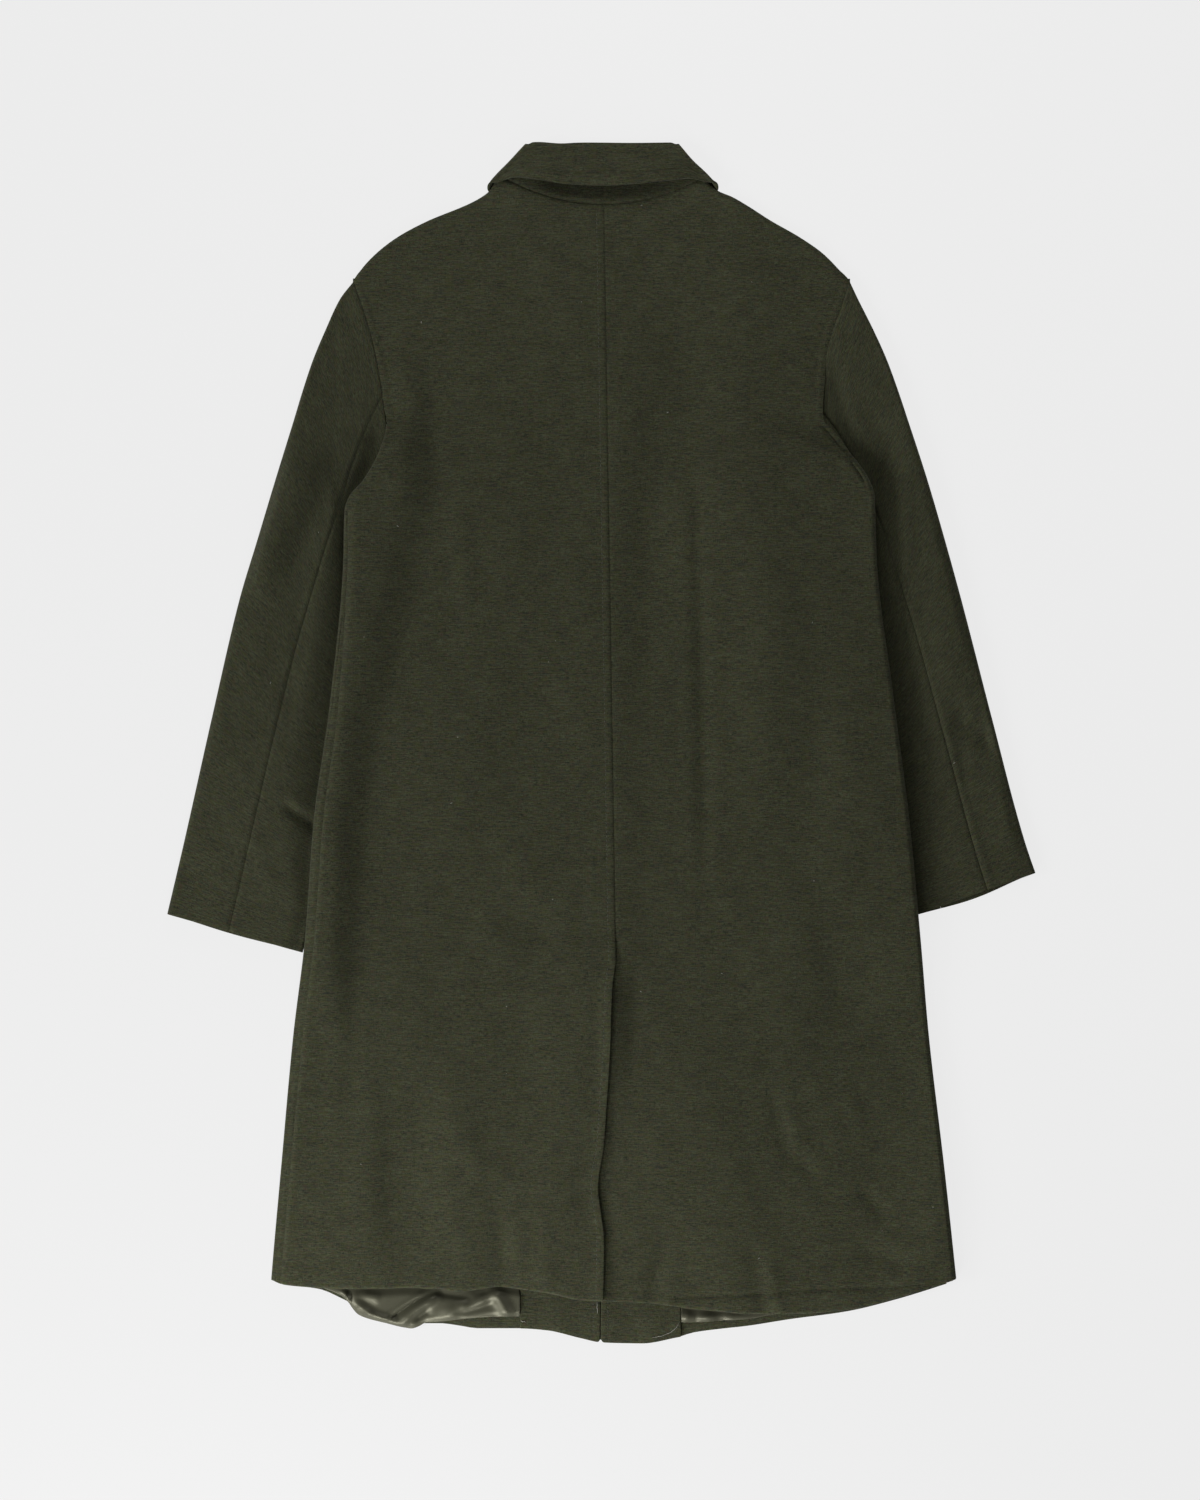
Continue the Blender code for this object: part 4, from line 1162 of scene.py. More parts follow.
def side_roll(side, y, z_top, low):
    """Half round of cloth over the side of the body, from the upper layer down."""
    radius, reach = (size[:, None] for size in roll_size(side, y, z_top, low))
    turns = np.linspace(math.pi / 2, -math.pi / 2, ROLL_TURNS)[None, :]
    centre = body_edge(side, y)[:, None] - outer_sign(side) * (reach + WOOL_HALF)
    x = centre + outer_sign(side) * reach * np.maximum(0.0, np.cos(turns)) ** ROLL_SQUARE
    return x, z_top[:, None] - radius + radius * np.sin(turns)


def back_levels():
    """Levels of the back: fine round the neck, then even down to the hem, where they are fine again."""
    neck = NECK_Y + NECK_RISE * np.linspace(NECK_END, 0.0, NECK_ROWS) ** 2
    marks = [NECK_Y, SHOULDER_Y, CHEST_Y, FOLD_TOP_Y, SIDE_WRAP_Y + SEAM_GAP, SIDE_WRAP_Y]
    middle = levels(marks + [VENT_TOP_Y, UNDERLAP_Y, HEM_FINE_Y], BACK_STEP)
    return np.concatenate((neck[:-1], middle[:-1], levels([HEM_FINE_Y, HEM_ROW_Y], HEM_STEP)))


def underlap(inner, y):
    """Columns of the right back past its centre line: seam allowance, then the vent's underlap."""
    lap = np.where(y <= UNDERLAP_Y, UNDERLAP, ALLOWANCE)[:, None]
    x = inner[:, None] - lap * np.linspace(1.0, 0.0, UNDERLAP_COLUMNS)[None, :-1]
    closed = smoothstep((y - UNDERLAP_Y) / UNDERLAP_RUN)[:, None]
    tucked = ALLOWANCE_DROP * closed * smoothstep((inner[:, None] - x) / ALLOWANCE_RUN)
    z = back_height("right", x, row_levels(y, x)) - tucked
    return x, z, row_levels(y <= NECK_Y, x)


def make_back(side, material):
    """Back panel with its folds; the right one has the underlap and turns under at the side."""
    sign = outer_sign(side)
    y = back_levels()
    inner = back_inner(side, y)
    edge = body_edge(side, y)
    rolled = y <= FOLD_TOP_Y
    low = front_height(side, edge, y)
    reach = roll_size(side, y, back_height(side, edge, y), low)[1]
    outer = edge - sign * np.where(rolled, reach + WOOL_HALF, ARMHOLE_GAP / 2)
    if side == "left":
        rolled &= y > SIDE_WRAP_Y
        outer = np.where(y <= SIDE_WRAP_Y, edge - sign * (side_strip(y) + SEAM_GAP), outer)
    x = places(inner, outer, BACK_INNER_STEPS, BACK_OUTER_STEPS, BACK_COLUMNS)
    z = back_surface(side, x, row_levels(y, x))
    roll_x, roll_z = side_roll(side, y, z[:, -1], low)
    keep = beside(np.ones(x.shape, dtype=bool), row_levels(rolled, roll_x))
    x = beside(x, roll_x[:, 1:], (edge - sign * UNDER_WRAP)[:, None])
    z = beside(z, roll_z[:, 1:], roll_z[:, -1:])
    if side == "right":
        lap_x, lap_z, lap_keep = underlap(inner, y)
        x = beside(lap_x, x)
        z = beside(lap_z, z)
        keep = beside(lap_keep, keep)
    points = stack(x, hem_level(row_levels(y, x), x, "back", HEM_INSET), z)
    points = turn_under(points, HEM_RADIUS, HEM_DEPTH)
    points[..., 2] = np.maximum(points[..., 2], FLOOR_LAYER)
    keep = np.concatenate((keep, np.repeat(keep[-1:], len(points) - len(keep), axis=0)), axis=0)
    cloth("back_" + side, points, material, weave_places(points, side), keep)


def front_outer(side, y):
    """Outer edge of the part of a front that lies on the floor."""
    inwards = -outer_sign(side)
    line = sleeve_inner(side, y) + inwards * RAMP_START
    inset = body_edge(side, y) + inwards * SIDE_INSET
    low = np.where(np.abs(line) < np.abs(inset), line, inset)
    armhole = sleeve_inner(side, y) + inwards * ARMHOLE_GAP
    shoulder = body_edge(side, y) + inwards * SHOULDER_INSET
    return np.where(y > SHOULDER_Y, shoulder, np.where(y >= UNDERARM_Y, armhole, low))


def front_inner(side, y):
    """Inner edge of a front: front edge, then the outer edge of the collar's leaf."""
    edge = COLLAR[-1]
    edge_x = edge.left_x if side == "left" else edge.right_x
    share = np.clip((y - COLLAR_POINT[1]) / (edge.left_y - COLLAR_POINT[1]), 0.0, 1.0)
    leaf = mix(COLLAR_POINT[0] * -outer_sign(side), edge_x, share) + outer_sign(side) * LEAF_GAP
    return np.where(y <= FRONT_TOP_Y, FRONT_EDGE[side], leaf)


def round_corner(start, x, y):
    """Round the lower corner of the front edge."""
    rise = quarter_round(FRONT_CORNER, np.abs(x - start))
    return y + CORNER_SHARE * rise * smoothstep((HEM_BLEND_Y - y) / CORNER_FADE)


def make_front(side, material):
    """Front panel, flat on the floor and over the sleeve at its side."""
    marks = [COLLAR[-1].left_y - FRONT_TOP_GAP, SHOULDER_Y, COLLAR_POINT[1], FRONT_TOP_Y]
    marks += [UNDERARM_Y, UNDERARM_Y - UNDERARM_STEP, SIDE_WRAP_Y, HEM_BLEND_Y, HEM_ROW_Y]
    y = levels(marks, FRONT_STEP)
    start = front_outer(side, y)
    reach = WOOL_HALF + BACK_OVER_FRONT / 2 if side == "left" else UNDER_WRAP + SEAM_GAP
    floor_x = between(front_inner(side, y), start, FRONT_COLUMNS)
    side_x = between(start, body_edge(side, y) - outer_sign(side) * reach, SIDE_COLUMNS)[:, 1:]
    side_z = front_height(side, side_x, row_levels(y, side_x))
    x = beside(floor_x, side_x)
    z = beside(np.full(floor_x.shape, FLOOR_LAYER), side_z)
    level = hem_level(row_levels(y, x), x, "front")
    keep = beside(np.ones(floor_x.shape, dtype=bool), row_levels(y < UNDERARM_Y, side_x))
    if side == "left":
        strip_x, strip_z = front_strip(y)
        x = beside(x, strip_x)
        z = beside(z, strip_z)
        level = beside(level, hem_level(row_levels(y, strip_x), strip_x, "back"))
        keep = beside(keep, row_levels(y <= SIDE_WRAP_Y, strip_x))
    points = stack(x, round_corner(FRONT_EDGE[side], x, level), z)
    cloth("front_" + side, points, material, weave_places(points, side), keep)


def front_strip(y):
    """The left front turns round the side and ends at the side seam on the upper side."""
    edge = body_edge("left", y)
    low = front_height("left", edge, y)
    bend = edge + WOOL_HALF + BACK_OVER_FRONT / 2
    roll_x, roll_z = side_roll("left", y, back_height("left", bend, y), low)
    top_x = between(bend, edge + side_strip(y), STRIP_COLUMNS)[:, 1:]
    rows = row_levels(y, top_x)
    top_z = back_height("left", top_x, rows) + side_relief("left", top_x, rows)
    return beside(roll_x[:, ::-1], top_x), beside(roll_z[:, ::-1], top_z)


def past_back(x, y):
    """How far a place lies below the hem of the back."""
    return read_table(HEM, "x", "back", x) - y


def make_facing(side, material):
    """Straight cloth facing inside the front edge."""
    start = FACING_EDGE[side]
    y = levels([FRONT_TOP_Y - FACING_TOP_GAP, HEM_BLEND_Y, HEM_ROW_Y], FACING_STEP)
    fine = np.linspace(0.0, FACING_FINE, FACING_FINE_COLUMNS)
    offsets = np.concatenate((fine, np.linspace(FACING_COARSE, FACING_WIDTH, FACING_COLUMNS)))
    x = np.broadcast_to(start + outer_sign(side) * offsets[None, :], (len(y), len(offsets)))
    level = round_corner(start, x, hem_level(row_levels(y, x), x, "front"))
    from_edge = np.abs(x - start)
    loose = smoothstep((past_back(x, level) + FACING_LOOSE) / LOOSE_RUN)
    soft = 0.5 + 0.5 * np.sin(math.tau * x / FACING_WAVE_PITCH + FACING_WAVE_PHASE)
    relief = FACING_WAVE * soft + groove("facing", from_edge) + strip("facing", from_edge)
    thickness = bpy.context.scene.coat_sizes.facing
    points = stack(x, level, FACING_LAYER + loose * relief)
    cloth("facing_" + side, points, material, thickness=thickness)


def make_lining(side, material):
    """Skirt lining of a front, loose and creased where it comes out below the back."""
    start = FACING_EDGE[side] + outer_sign(side) * (FACING_WIDTH + SEAM_GAP)
    upper = levels([LINING_TOP_Y, LINING_FINE_Y], LINING_STEP)
    y = np.concatenate((upper[:-1], levels([LINING_FINE_Y, HEM_ROW_Y], LINING_FINE_STEP)))
    end = body_edge(side, y) - outer_sign(side) * LINING_SIDE
    x = between(np.full(y.shape, start), end, LINING_COLUMNS)
    level = hem_level(row_levels(y, x), x, "lining")
    loose = smoothstep((past_back(x, level) + LINING_LOOSE) / LOOSE_RUN)
    edge_roll = strip("lining", level - read_table(HEM, "x", "lining", x))
    relief = np.maximum(0.0, LINING_RISE + fold_height(LINING_FOLDS, x, level) + edge_roll)
    points = stack(x, level, LINING_LAYER + loose * relief)
    thickness = bpy.context.scene.coat_sizes.lining
    cloth("lining_" + side, points, material, thickness=thickness)


def armhole_point(side, share):
    """Place on the armhole seam by its share of the seam's length."""
    y = np.linspace(SHOULDER_Y, UNDERARM_Y, ARMHOLE_SAMPLES)
    x = read_table(ARMHOLE, "y", side, y)
    run = np.concatenate(((0.0,), np.cumsum(np.hypot(np.diff(x), np.diff(y)))))
    level = np.interp(share, run / run[-1], y)
    return stack(read_table(ARMHOLE, "y", side, level), level, 0.0)[..., :2]


def sleeve_place(side, across, along):
    """Place on the laid sleeve: across from the outer fold, along from the armhole."""
    cuff = CUFFS[side]
    shoulder = armhole_point(side, 0.0)
    underarm = armhole_point(side, 1.0)
    outer_corner = np.array((cuff.outer_x, cuff.outer_y))
    inner_corner = np.array((cuff.inner_x, cuff.inner_y))
    share = across[..., None]
    down = along[..., None]
    outer_y = mix(SHOULDER_Y, cuff.outer_y, along)
    outer = stack(read_table(SLEEVE_EDGE, "y", side, outer_y), outer_y, 0.0)[..., :2]
    inner = mix(underarm, inner_corner, down)
    top = armhole_point(side, across)
    low = mix(outer_corner, inner_corner, share)
    plain = mix(mix(shoulder, underarm, share), low, down)
    return mix(outer, inner, share) + mix(top, low, down) - plain


def sleeve_width(side, along):
    """Width of the laid sleeve."""
    outer = sleeve_place(side, np.zeros(along.shape), along)
    inner = sleeve_place(side, np.ones(along.shape), along)
    return np.linalg.norm(inner - outer, axis=-1)


def sleeve_seam(side, along):
    """Share of the width where the back seam runs."""
    cuff = CUFFS[side]
    return mix(cuff.seam_low, cuff.seam_top, (1.0 - along) ** cuff.seam_fade)


def covered_from(side, along):
    """Share of the width where the body's edge comes to lie over the sleeve."""
    samples = np.linspace(0.0, 1.0, COVER_SAMPLES)[None, :]
    across, rows = np.broadcast_arrays(samples, along[:, None])
    place = sleeve_place(side, across, rows)
    outside = (place[..., 0] - body_edge(side, place[..., 1])) * outer_sign(side)
    share = np.clip(outside / COVER_SOFT + 0.5, 0.0, 1.0).mean(axis=1)
    return np.clip(share, COVER_LEAST, COVER_MOST)


def sleeve_puff(side, along):
    """How much thicker the sleeve lies than at the armhole; it is flatter again at the cuff."""
    risen = smoothstep(along * SLEEVE_LENGTH / SLEEVE_BLEND)
    flat = CUFF_FLAT * smoothstep((along - CUFF_FLAT_FROM) / CUFF_FLAT_RUN)
    return SLEEVE_PUFF[side] * risen * (1.0 - flat)


def sleeve_fullness(side, across, along, width):
    """Share of the puff: none where the body presses the sleeve flat, all well outside its edge."""
    from_body = (covered_from(side, along[:, 0])[:, None] - across) * width
    if side == "right":
        return smoothstep((from_body - RIGHT_PRESS_GAP) / RIGHT_PRESS_RUN)
    by_cuff = smoothstep((along - LEFT_PRESS_FROM) / LEFT_PRESS_FADE)
    run = mix(LEFT_PRESS_RUN, LEFT_PRESS_CUFF_RUN, by_cuff)
    return 1.0 - np.clip(1.0 - (from_body - LEFT_PRESS_GAP) / run, 0.0, 1.0) ** 2


def sleeve_relief(side, from_seam, along):
    """Back seam with its allowance, the armhole seam and the cuff's hem."""
    from_armhole = along * SLEEVE_LENGTH
    from_cuff = (1.0 - along) * SLEEVE_LENGTH
    seams = strip("sleeve", np.abs(from_seam)) * (from_seam < 0.0)
    seams = seams + groove("sleeve_" + side, from_seam) + groove("sleeve_armhole", from_armhole)
    hem = groove("cuff", from_cuff) + strip("cuff", from_cuff)
    return seams + hem - ALLOWANCE_DROP * smoothstep((ARMHOLE_GAP - from_armhole) / SLEEVE_TUCK)


def sleeve_points(side, across, along, upper):
    """Middle of the sleeve's wall, rounded at both folds, with its seams and creases."""
    width = sleeve_width(side, along[:, 0])[:, None]
    from_seam = (across - sleeve_seam(side, along)) * width
    reach = CUFFS[side].lower_reach * np.sin(math.pi * np.clip(across, 0.0, 1.0)) ** 2
    along = np.where(upper, along, along * (1.0 + reach / SLEEVE_LENGTH))
    place = sleeve_place(side, across, along)
    full = sleeve_fullness(side, across, along, width)
    radius = (SLEEVE_LOFT + sleeve_puff(side, along) * full) / 2
    from_fold = np.minimum(across, 1.0 - across) * width
    inset = 1.0 - np.minimum(1.0, from_fold / radius)
    half = radius * np.sqrt(1.0 - inset * inset)
    z = FLOOR_LAYER + radius + np.where(upper, half, -half)
    free = smoothstep(from_fold / SLEEVE_RIM) * smoothstep(along * SLEEVE_LENGTH / CREASE_BLEND)
    creases = fold_height(SLEEVE_FOLDS, place[..., 0], place[..., 1])
    creases = creases + SLEEVE_WAVES * unevenness(place[..., 0], place[..., 1])
    creases = np.maximum(0.0, creases) * full + np.minimum(0.0, creases)
    z = z + np.where(upper, creases * free + sleeve_relief(side, from_seam, along), 0.0)
    return np.concatenate((place, z[..., None]), axis=-1)


def sleeve_columns(first, last, width):
    """Shares of the width from the back seam to a fold, with close columns by the seam."""
    start = first + np.sign(last - first) * np.array(SLEEVE_SEAM_STEPS)[None, :] / width
    return beside(start, between(start[:, -1], last[:, 0], SLEEVE_COLUMNS)[:, 1:])


def make_sleeve(side, material):
    """Both pieces of a sleeve: the top one round the outer fold, the under one round the inner."""
    along = np.concatenate((
        (ARMHOLE_GAP + np.array(SLEEVE_TOP_STEPS)) / SLEEVE_LENGTH,
        np.linspace(SLEEVE_ROWS_FROM, SLEEVE_ROWS_TO, SLEEVE_ROWS),
        1.0 - np.array(SLEEVE_CUFF_STEPS) / SLEEVE_LENGTH,
    ))
    width = sleeve_width(side, along)[:, None]
    seam = sleeve_seam(side, along)[:, None]
    gap = SEAM_GAP / width
    turns = 1.0 - np.cos(np.linspace(math.pi / 2, 0.0, SLEEVE_TURNS)[None, :])
    outer_fold = (SLEEVE_LOFT + sleeve_puff(side, along)[:, None]) / 2 * turns / width
    inner_fold = 1.0 - SLEEVE_LOFT / 2 * turns / width
    pieces = (
        ("top", seam, outer_fold, np.full(along.shape, FRONT_SEAM)),
        ("under", seam + gap, inner_fold, FRONT_SEAM + gap[:, 0]),
    )
    for piece, start, fold, end in pieces:
        above = beside(sleeve_columns(start, fold[:, :1], width), fold[:, 1:])
        below = between(fold[:, 0], end, SLEEVE_LOWER_COLUMNS[piece])
        across = beside(above, fold[:, -2::-1], below[:, 1:])
        upper = np.broadcast_to(np.arange(across.shape[1]) < above.shape[1], across.shape)
        rows = row_levels(along, across)
        points = sleeve_points(side, across, rows, upper)
        grain = stack(weave_places(points, side)[..., 0], -rows * SLEEVE_LENGTH, 0.0)[..., :2]
        cloth("sleeve_" + piece + "_" + side, points, material, grain)


def collar_line(column, across):
    """Read the collar's silhouette."""
    return read_table(COLLAR, "across", column, across)


def fall_height(across, share):
    """The fall lies on the stand, rolls down to its top and stands off at its lower edge."""
    inset = FALL_ROLL * (1.0 - smoothstep(across / FALL_ROLL_SHARE))
    middle = 1.0 - smoothstep((np.abs(share - 0.5) - FALL_LIFT_HALF) / FALL_LIFT_FADE)
    lift = FALL_LIFT * smoothstep((across - FALL_LIFT_FROM) / FALL_LIFT_RUN) * middle
    band = smoothstep((across - FALL_RIDGE) / FALL_RIDGE_RUN) + groove("fall_ridge", across)
    return FALL_MIDDLE - inset + lift + band * mix(FALL_RIDGE_SIDE, 1.0, middle)


def fall_radius(across):
    """Radius of the fall's half round over the side of the neck."""
    return (fall_height(across, np.zeros(across.shape)) - FLOOR_LAYER) / 2


def fall_top(across, share):
    """Upper layer of the fall, from the left silhouette to the right one."""
    inset = fall_radius(across) + WOOL_HALF
    x = mix(collar_line("left_x", across) + inset, collar_line("right_x", across) - inset, share)
    end_y = np.where(share < 0.5, collar_line("left_y", across), collar_line("right_y", across))
    end_y = end_y + collar_line("hook", across)
    top_y = COLLAR_TOP_Y + sum(bump.height * ridge(x - bump.x, bump.width) for bump in COLLAR_BUMPS)
    from_middle = np.abs(share - 0.5)
    by_side = smoothstep((from_middle - mix(*FALL_TURN_START, across)) / mix(*FALL_TURN_RUN, across))
    y = mix(mix(top_y, read_table(FALL_EDGE, "x", "y", x), across), end_y, by_side)
    calm = smoothstep(across / COLLAR_WAVES_RUN) * (1.0 - by_side)
    return stack(x, y, fall_height(across, share) + COLLAR_WAVES * unevenness(x, y) * calm)


def fall_side(side, across, turns):
    """Half round of the fall over the side of the neck, upper layer first."""
    radius = fall_radius(across)
    inset = radius * (1.0 - np.cos(turns)) + WOOL_HALF
    x = collar_line(side + "_x", across) - outer_sign(side) * inset
    y = collar_line(side + "_y", across) + collar_line("hook", across) * np.sin(turns)
    return stack(x, y, FLOOR_LAYER + radius * (1.0 + np.sin(turns)))


def fall_leaf(side, across, share):
    """Front leaf of the fall, flat on the floor, from the side of the neck to its front edge."""
    mirror = -outer_sign(side)
    inset = (FALL_MIDDLE - FLOOR_LAYER) / 2 + WOOL_HALF
    start_x = collar_line(side + "_x", across) + mirror * inset
    start_y = collar_line(side + "_y", across) - collar_line("hook", across)
    end_x = mix(COLLAR_FRONT[0], COLLAR_POINT[0], across) * mirror
    end_y = mix(COLLAR_FRONT[1], COLLAR_POINT[1], across)
    return stack(mix(start_x, end_x, share), mix(start_y, end_y, share), FLOOR_LAYER)


def make_collar_fall(material):
    """Turned-down leaf of the collar, round the neck from one front point to the other."""
    across = np.concatenate((
        np.linspace(0.0, FALL_ROLL_SHARE, FALL_ROLL_COLUMNS),
        np.linspace(FALL_COLUMNS_FROM, FALL_COLUMNS_TO, FALL_COLUMNS),
        FALL_EDGE_SHARES,
    ))[None, :]
    leaf = np.linspace(1.0, 0.0, LEAF_ROWS)[:-1, None]
    turns = np.linspace(-FALL_TURN_END, FALL_TURN_END, FALL_TURNS)[:, None] * math.pi / 2
    top = np.linspace(0.0, 1.0, FALL_ROWS)[:, None]
    points = np.concatenate((
        fall_leaf("left", *np.broadcast_arrays(across, leaf)),
        fall_side("left", *np.broadcast_arrays(across, turns)),
        fall_top(*np.broadcast_arrays(across, top)),
        fall_side("right", *np.broadcast_arrays(across, turns[::-1])),
        fall_leaf("right", *np.broadcast_arrays(across, leaf[::-1])),
    ))
    run = np.linalg.norm(np.diff(points[:, FALL_GRAIN_COLUMN], axis=0), axis=1)
    along = np.concatenate(((0.0,), np.cumsum(run)))[:, None]
    grain = stack(along, -across * FALL_WIDTH, 0.0)[..., :2]
    cloth("collar_fall", points, material, grain)


def make_collar_stand(material):
    """Band from the neck seam up to the roll line, which dips under the fall."""
    share = np.concatenate((STAND_EDGE_SHARES, np.linspace(STAND_ROWS_FROM, 1.0, STAND_ROWS)))
    place = np.linspace(-NECK_END, NECK_END, STAND_COLUMNS)
    share, place = np.broadcast_arrays(share[:, None], place[None, :])
    seam_y = NECK_Y + NECK_RISE * place * place + SEAM_GAP
    x = CENTRE_BACK + NECK_HALF * place * mix(1.0, STAND_TAPER, share)
    y = mix(seam_y, STAND_TOP_Y, share)
    middle = 1.0 - smoothstep((np.abs(place) - STAND_DIP_HALF) / STAND_DIP_FADE)
    dip = STAND_DIP * smoothstep((share - STAND_DIP_FROM) / STAND_DIP_RUN) * middle
    seams = groove("stand", share * (STAND_TOP_Y - NECK_Y)) + groove("stand_centre", x - CENTRE_BACK)
    tucked = ALLOWANCE_DROP * smoothstep((STAND_TUCK - share) / STAND_TUCK_RUN)
    points = stack(x, y, FLOOR_LAYER + BACK_OVER_FRONT - dip + seams - tucked)[::-1]
    cloth("collar_stand", points, material)


def add_noise(tree, vector, scale, detail):
    """Noise in a cell of the given scale along the two directions of the cloth."""
    mapping = tree.nodes.new("ShaderNodeMapping")
    mapping.inputs["Scale"].default_value = (*scale, 1.0)
    tree.links.new(vector, mapping.inputs["Vector"])
    noise = tree.nodes.new("ShaderNodeTexNoise")
    noise.inputs["Scale"].default_value = 1.0
    noise.inputs["Detail"].default_value = detail
    tree.links.new(mapping.outputs["Vector"], noise.inputs["Vector"])
    return noise.outputs["Fac"]


def add_math(tree, operation, first, second, third=None):
    """A math node on sockets or numbers."""
    node = tree.nodes.new("ShaderNodeMath")
    node.operation = operation
    for socket, value in zip(node.inputs, (first, second, third)):
        if isinstance(value, (int, float)):
            socket.default_value = value
        elif value is not None:
            tree.links.new(value, socket)
    return node.outputs["Value"]


def clamp(tree, value, most):
    """Keep a value between 0 and a limit."""
    return add_math(tree, "MINIMUM", add_math(tree, "MAXIMUM", value, 0.0), most)


def weighted_sum(tree, values, weights):
    """Add up noise values, each about its middle and times its weight."""
    total = 0.5
    for value, weight in zip(values, weights):
        if weight:
            about_middle = add_math(tree, "SUBTRACT", value, 0.5)
            total = add_math(tree, "MULTIPLY_ADD", about_middle, weight, total)
    return total


def add_mix(tree, factor, first, second):
    """Blend two colours."""
    node = tree.nodes.new("ShaderNodeMix")
    node.data_type = "RGBA"
    for name, value in (("Factor", factor), ("A", first), ("B", second)):
        tree.links.new(value, node.inputs[name])
    return node.outputs["Result"]


def weave_group(name, colours, noises):
    """Start a weave: its sockets, its height, and its colour from dark to light by noise."""
    tree = bpy.data.node_groups.new(name, "ShaderNodeTree")
    tree.interface.new_socket("Vector", in_out="INPUT", socket_type="NodeSocketVector")
    for colour in colours:
        tree.interface.new_socket(colour, in_out="INPUT", socket_type="NodeSocketColor")
    tree.interface.new_socket("Color", in_out="OUTPUT", socket_type="NodeSocketColor")
    tree.interface.new_socket("Height", in_out="OUTPUT", socket_type="NodeSocketFloat")
    given = tree.nodes.new("NodeGroupInput").outputs
    result = tree.nodes.new("NodeGroupOutput").inputs
    values = [add_noise(tree, given["Vector"], noise.scale, noise.detail) for noise in noises]
    tone = clamp(tree, weighted_sum(tree, values, [noise.tone for noise in noises]), 1.0)
    height = weighted_sum(tree, values, [noise.height for noise in noises])
    tree.links.new(height, result["Height"])
    return tree, given, result, add_mix(tree, tone, given["Dark"], given["Light"])


def melange_group():
    """Woven melange: streaks along weft and warp, slow mottling, flecks and neps."""
    colours = ("Dark", "Light", *(fleck.colour for fleck in FLECKS), "Nep")
    tree, given, result, colour = weave_group("melange_weave", colours, WOOL_NOISE)
    for fleck in FLECKS:
        noise = add_noise(tree, given["Vector"], fleck.scale, FLECK_DETAIL)
        share = add_math(tree, "MULTIPLY_ADD", noise, FLECK_GAIN, FLECK_START)
        colour = add_mix(tree, clamp(tree, share, FLECK_MOST), colour, given[fleck.colour])
    cells = tree.nodes.new("ShaderNodeTexVoronoi")
    cells.inputs["Scale"].default_value = NEP_CELLS
    tree.links.new(given["Vector"], cells.inputs["Vector"])
    pick = tree.nodes.new("ShaderNodeSeparateColor")
    tree.links.new(cells.outputs["Color"], pick.inputs["Color"])
    chosen = add_math(tree, "GREATER_THAN", pick.outputs["Red"], NEP_PICK)
    close = add_math(tree, "LESS_THAN", cells.outputs["Distance"], NEP_RADIUS)
    nep = add_math(tree, "MULTIPLY", add_math(tree, "MULTIPLY", chosen, close), NEP_SHARE)
    tree.links.new(add_mix(tree, nep, colour, given["Nep"]), result["Color"])
    return tree


def satin_group():
    """Satin: fine long yarns, and slow patches of painted shade and painted light between its two
    colours.
    """
    tree, _, result, colour = weave_group("satin_weave", ("Dark", "Light"), SATIN_NOISE)
    tree.links.new(colour, result["Color"])
    return tree


def cloth_material(name, group, colours, finish, depth):
    """A cloth finish from a weave group, on the piece's own weave map."""
    material = bpy.data.materials.new(name)
    material.use_nodes = True
    tree = material.node_tree
    shader = tree.nodes["Principled BSDF"]
    shader.inputs["Roughness"].default_value = finish.roughness
    shader.inputs["Specular IOR Level"].default_value = finish.gloss
    shader.inputs["Sheen Weight"].default_value = finish.sheen
    shader.inputs["Sheen Roughness"].default_value = SHEEN_ROUGHNESS
    place = tree.nodes.new("ShaderNodeUVMap")
    place.uv_map = CLOTH_UV
    weave = tree.nodes.new("ShaderNodeGroup")
    weave.node_tree = group
    for socket, colour in colours.items():
        weave.inputs[socket].default_value = (*colour, 1.0)
    relief = tree.nodes.new("ShaderNodeBump")
    relief.inputs["Distance"].default_value = depth
    relief.inputs["Strength"].default_value = RELIEF_STRENGTH
    tree.links.new(place.outputs["UV"], weave.inputs["Vector"])
    tree.links.new(weave.outputs["Color"], shader.inputs["Base Color"])
    tree.links.new(weave.outputs["Height"], relief.inputs["Height"])
    tree.links.new(relief.outputs["Normal"], shader.inputs["Normal"])
    return material


def wool_material():
    """Milled wool melange, matt with a short nap."""
    if "wool_melange" in bpy.data.materials:
        return bpy.data.materials["wool_melange"]
    chosen = bpy.context.scene.coat_colours
    colours = {
        "Dark": chosen.wool_dark, "Light": chosen.wool_light,
        "Slate": chosen.wool_slate, "Olive": chosen.wool_olive, "Rust": chosen.wool_rust,
        "Nep": chosen.lint,
    }
    depth = bpy.context.scene.coat_sizes.weave
    return cloth_material("wool_melange", melange_group(), colours, WOOL_FINISH, depth)


def satin_material():
    """Olive satin of the lining, its colour mixed from painted shade and painted light."""
    chosen = bpy.context.scene.coat_colours
    # The satin's dark and light colours are its painted shade and painted light
    colours = {"Dark": chosen.satin_painted_shade, "Light": chosen.satin_painted_light}
    material = cloth_material("satin_lining", satin_group(), colours, SATIN_FINISH, SATIN_DEPTH)
    shader = material.node_tree.nodes["Principled BSDF"]
    shader.inputs["Specular Tint"].default_value = (*chosen.satin_gloss, 1.0)
    return material


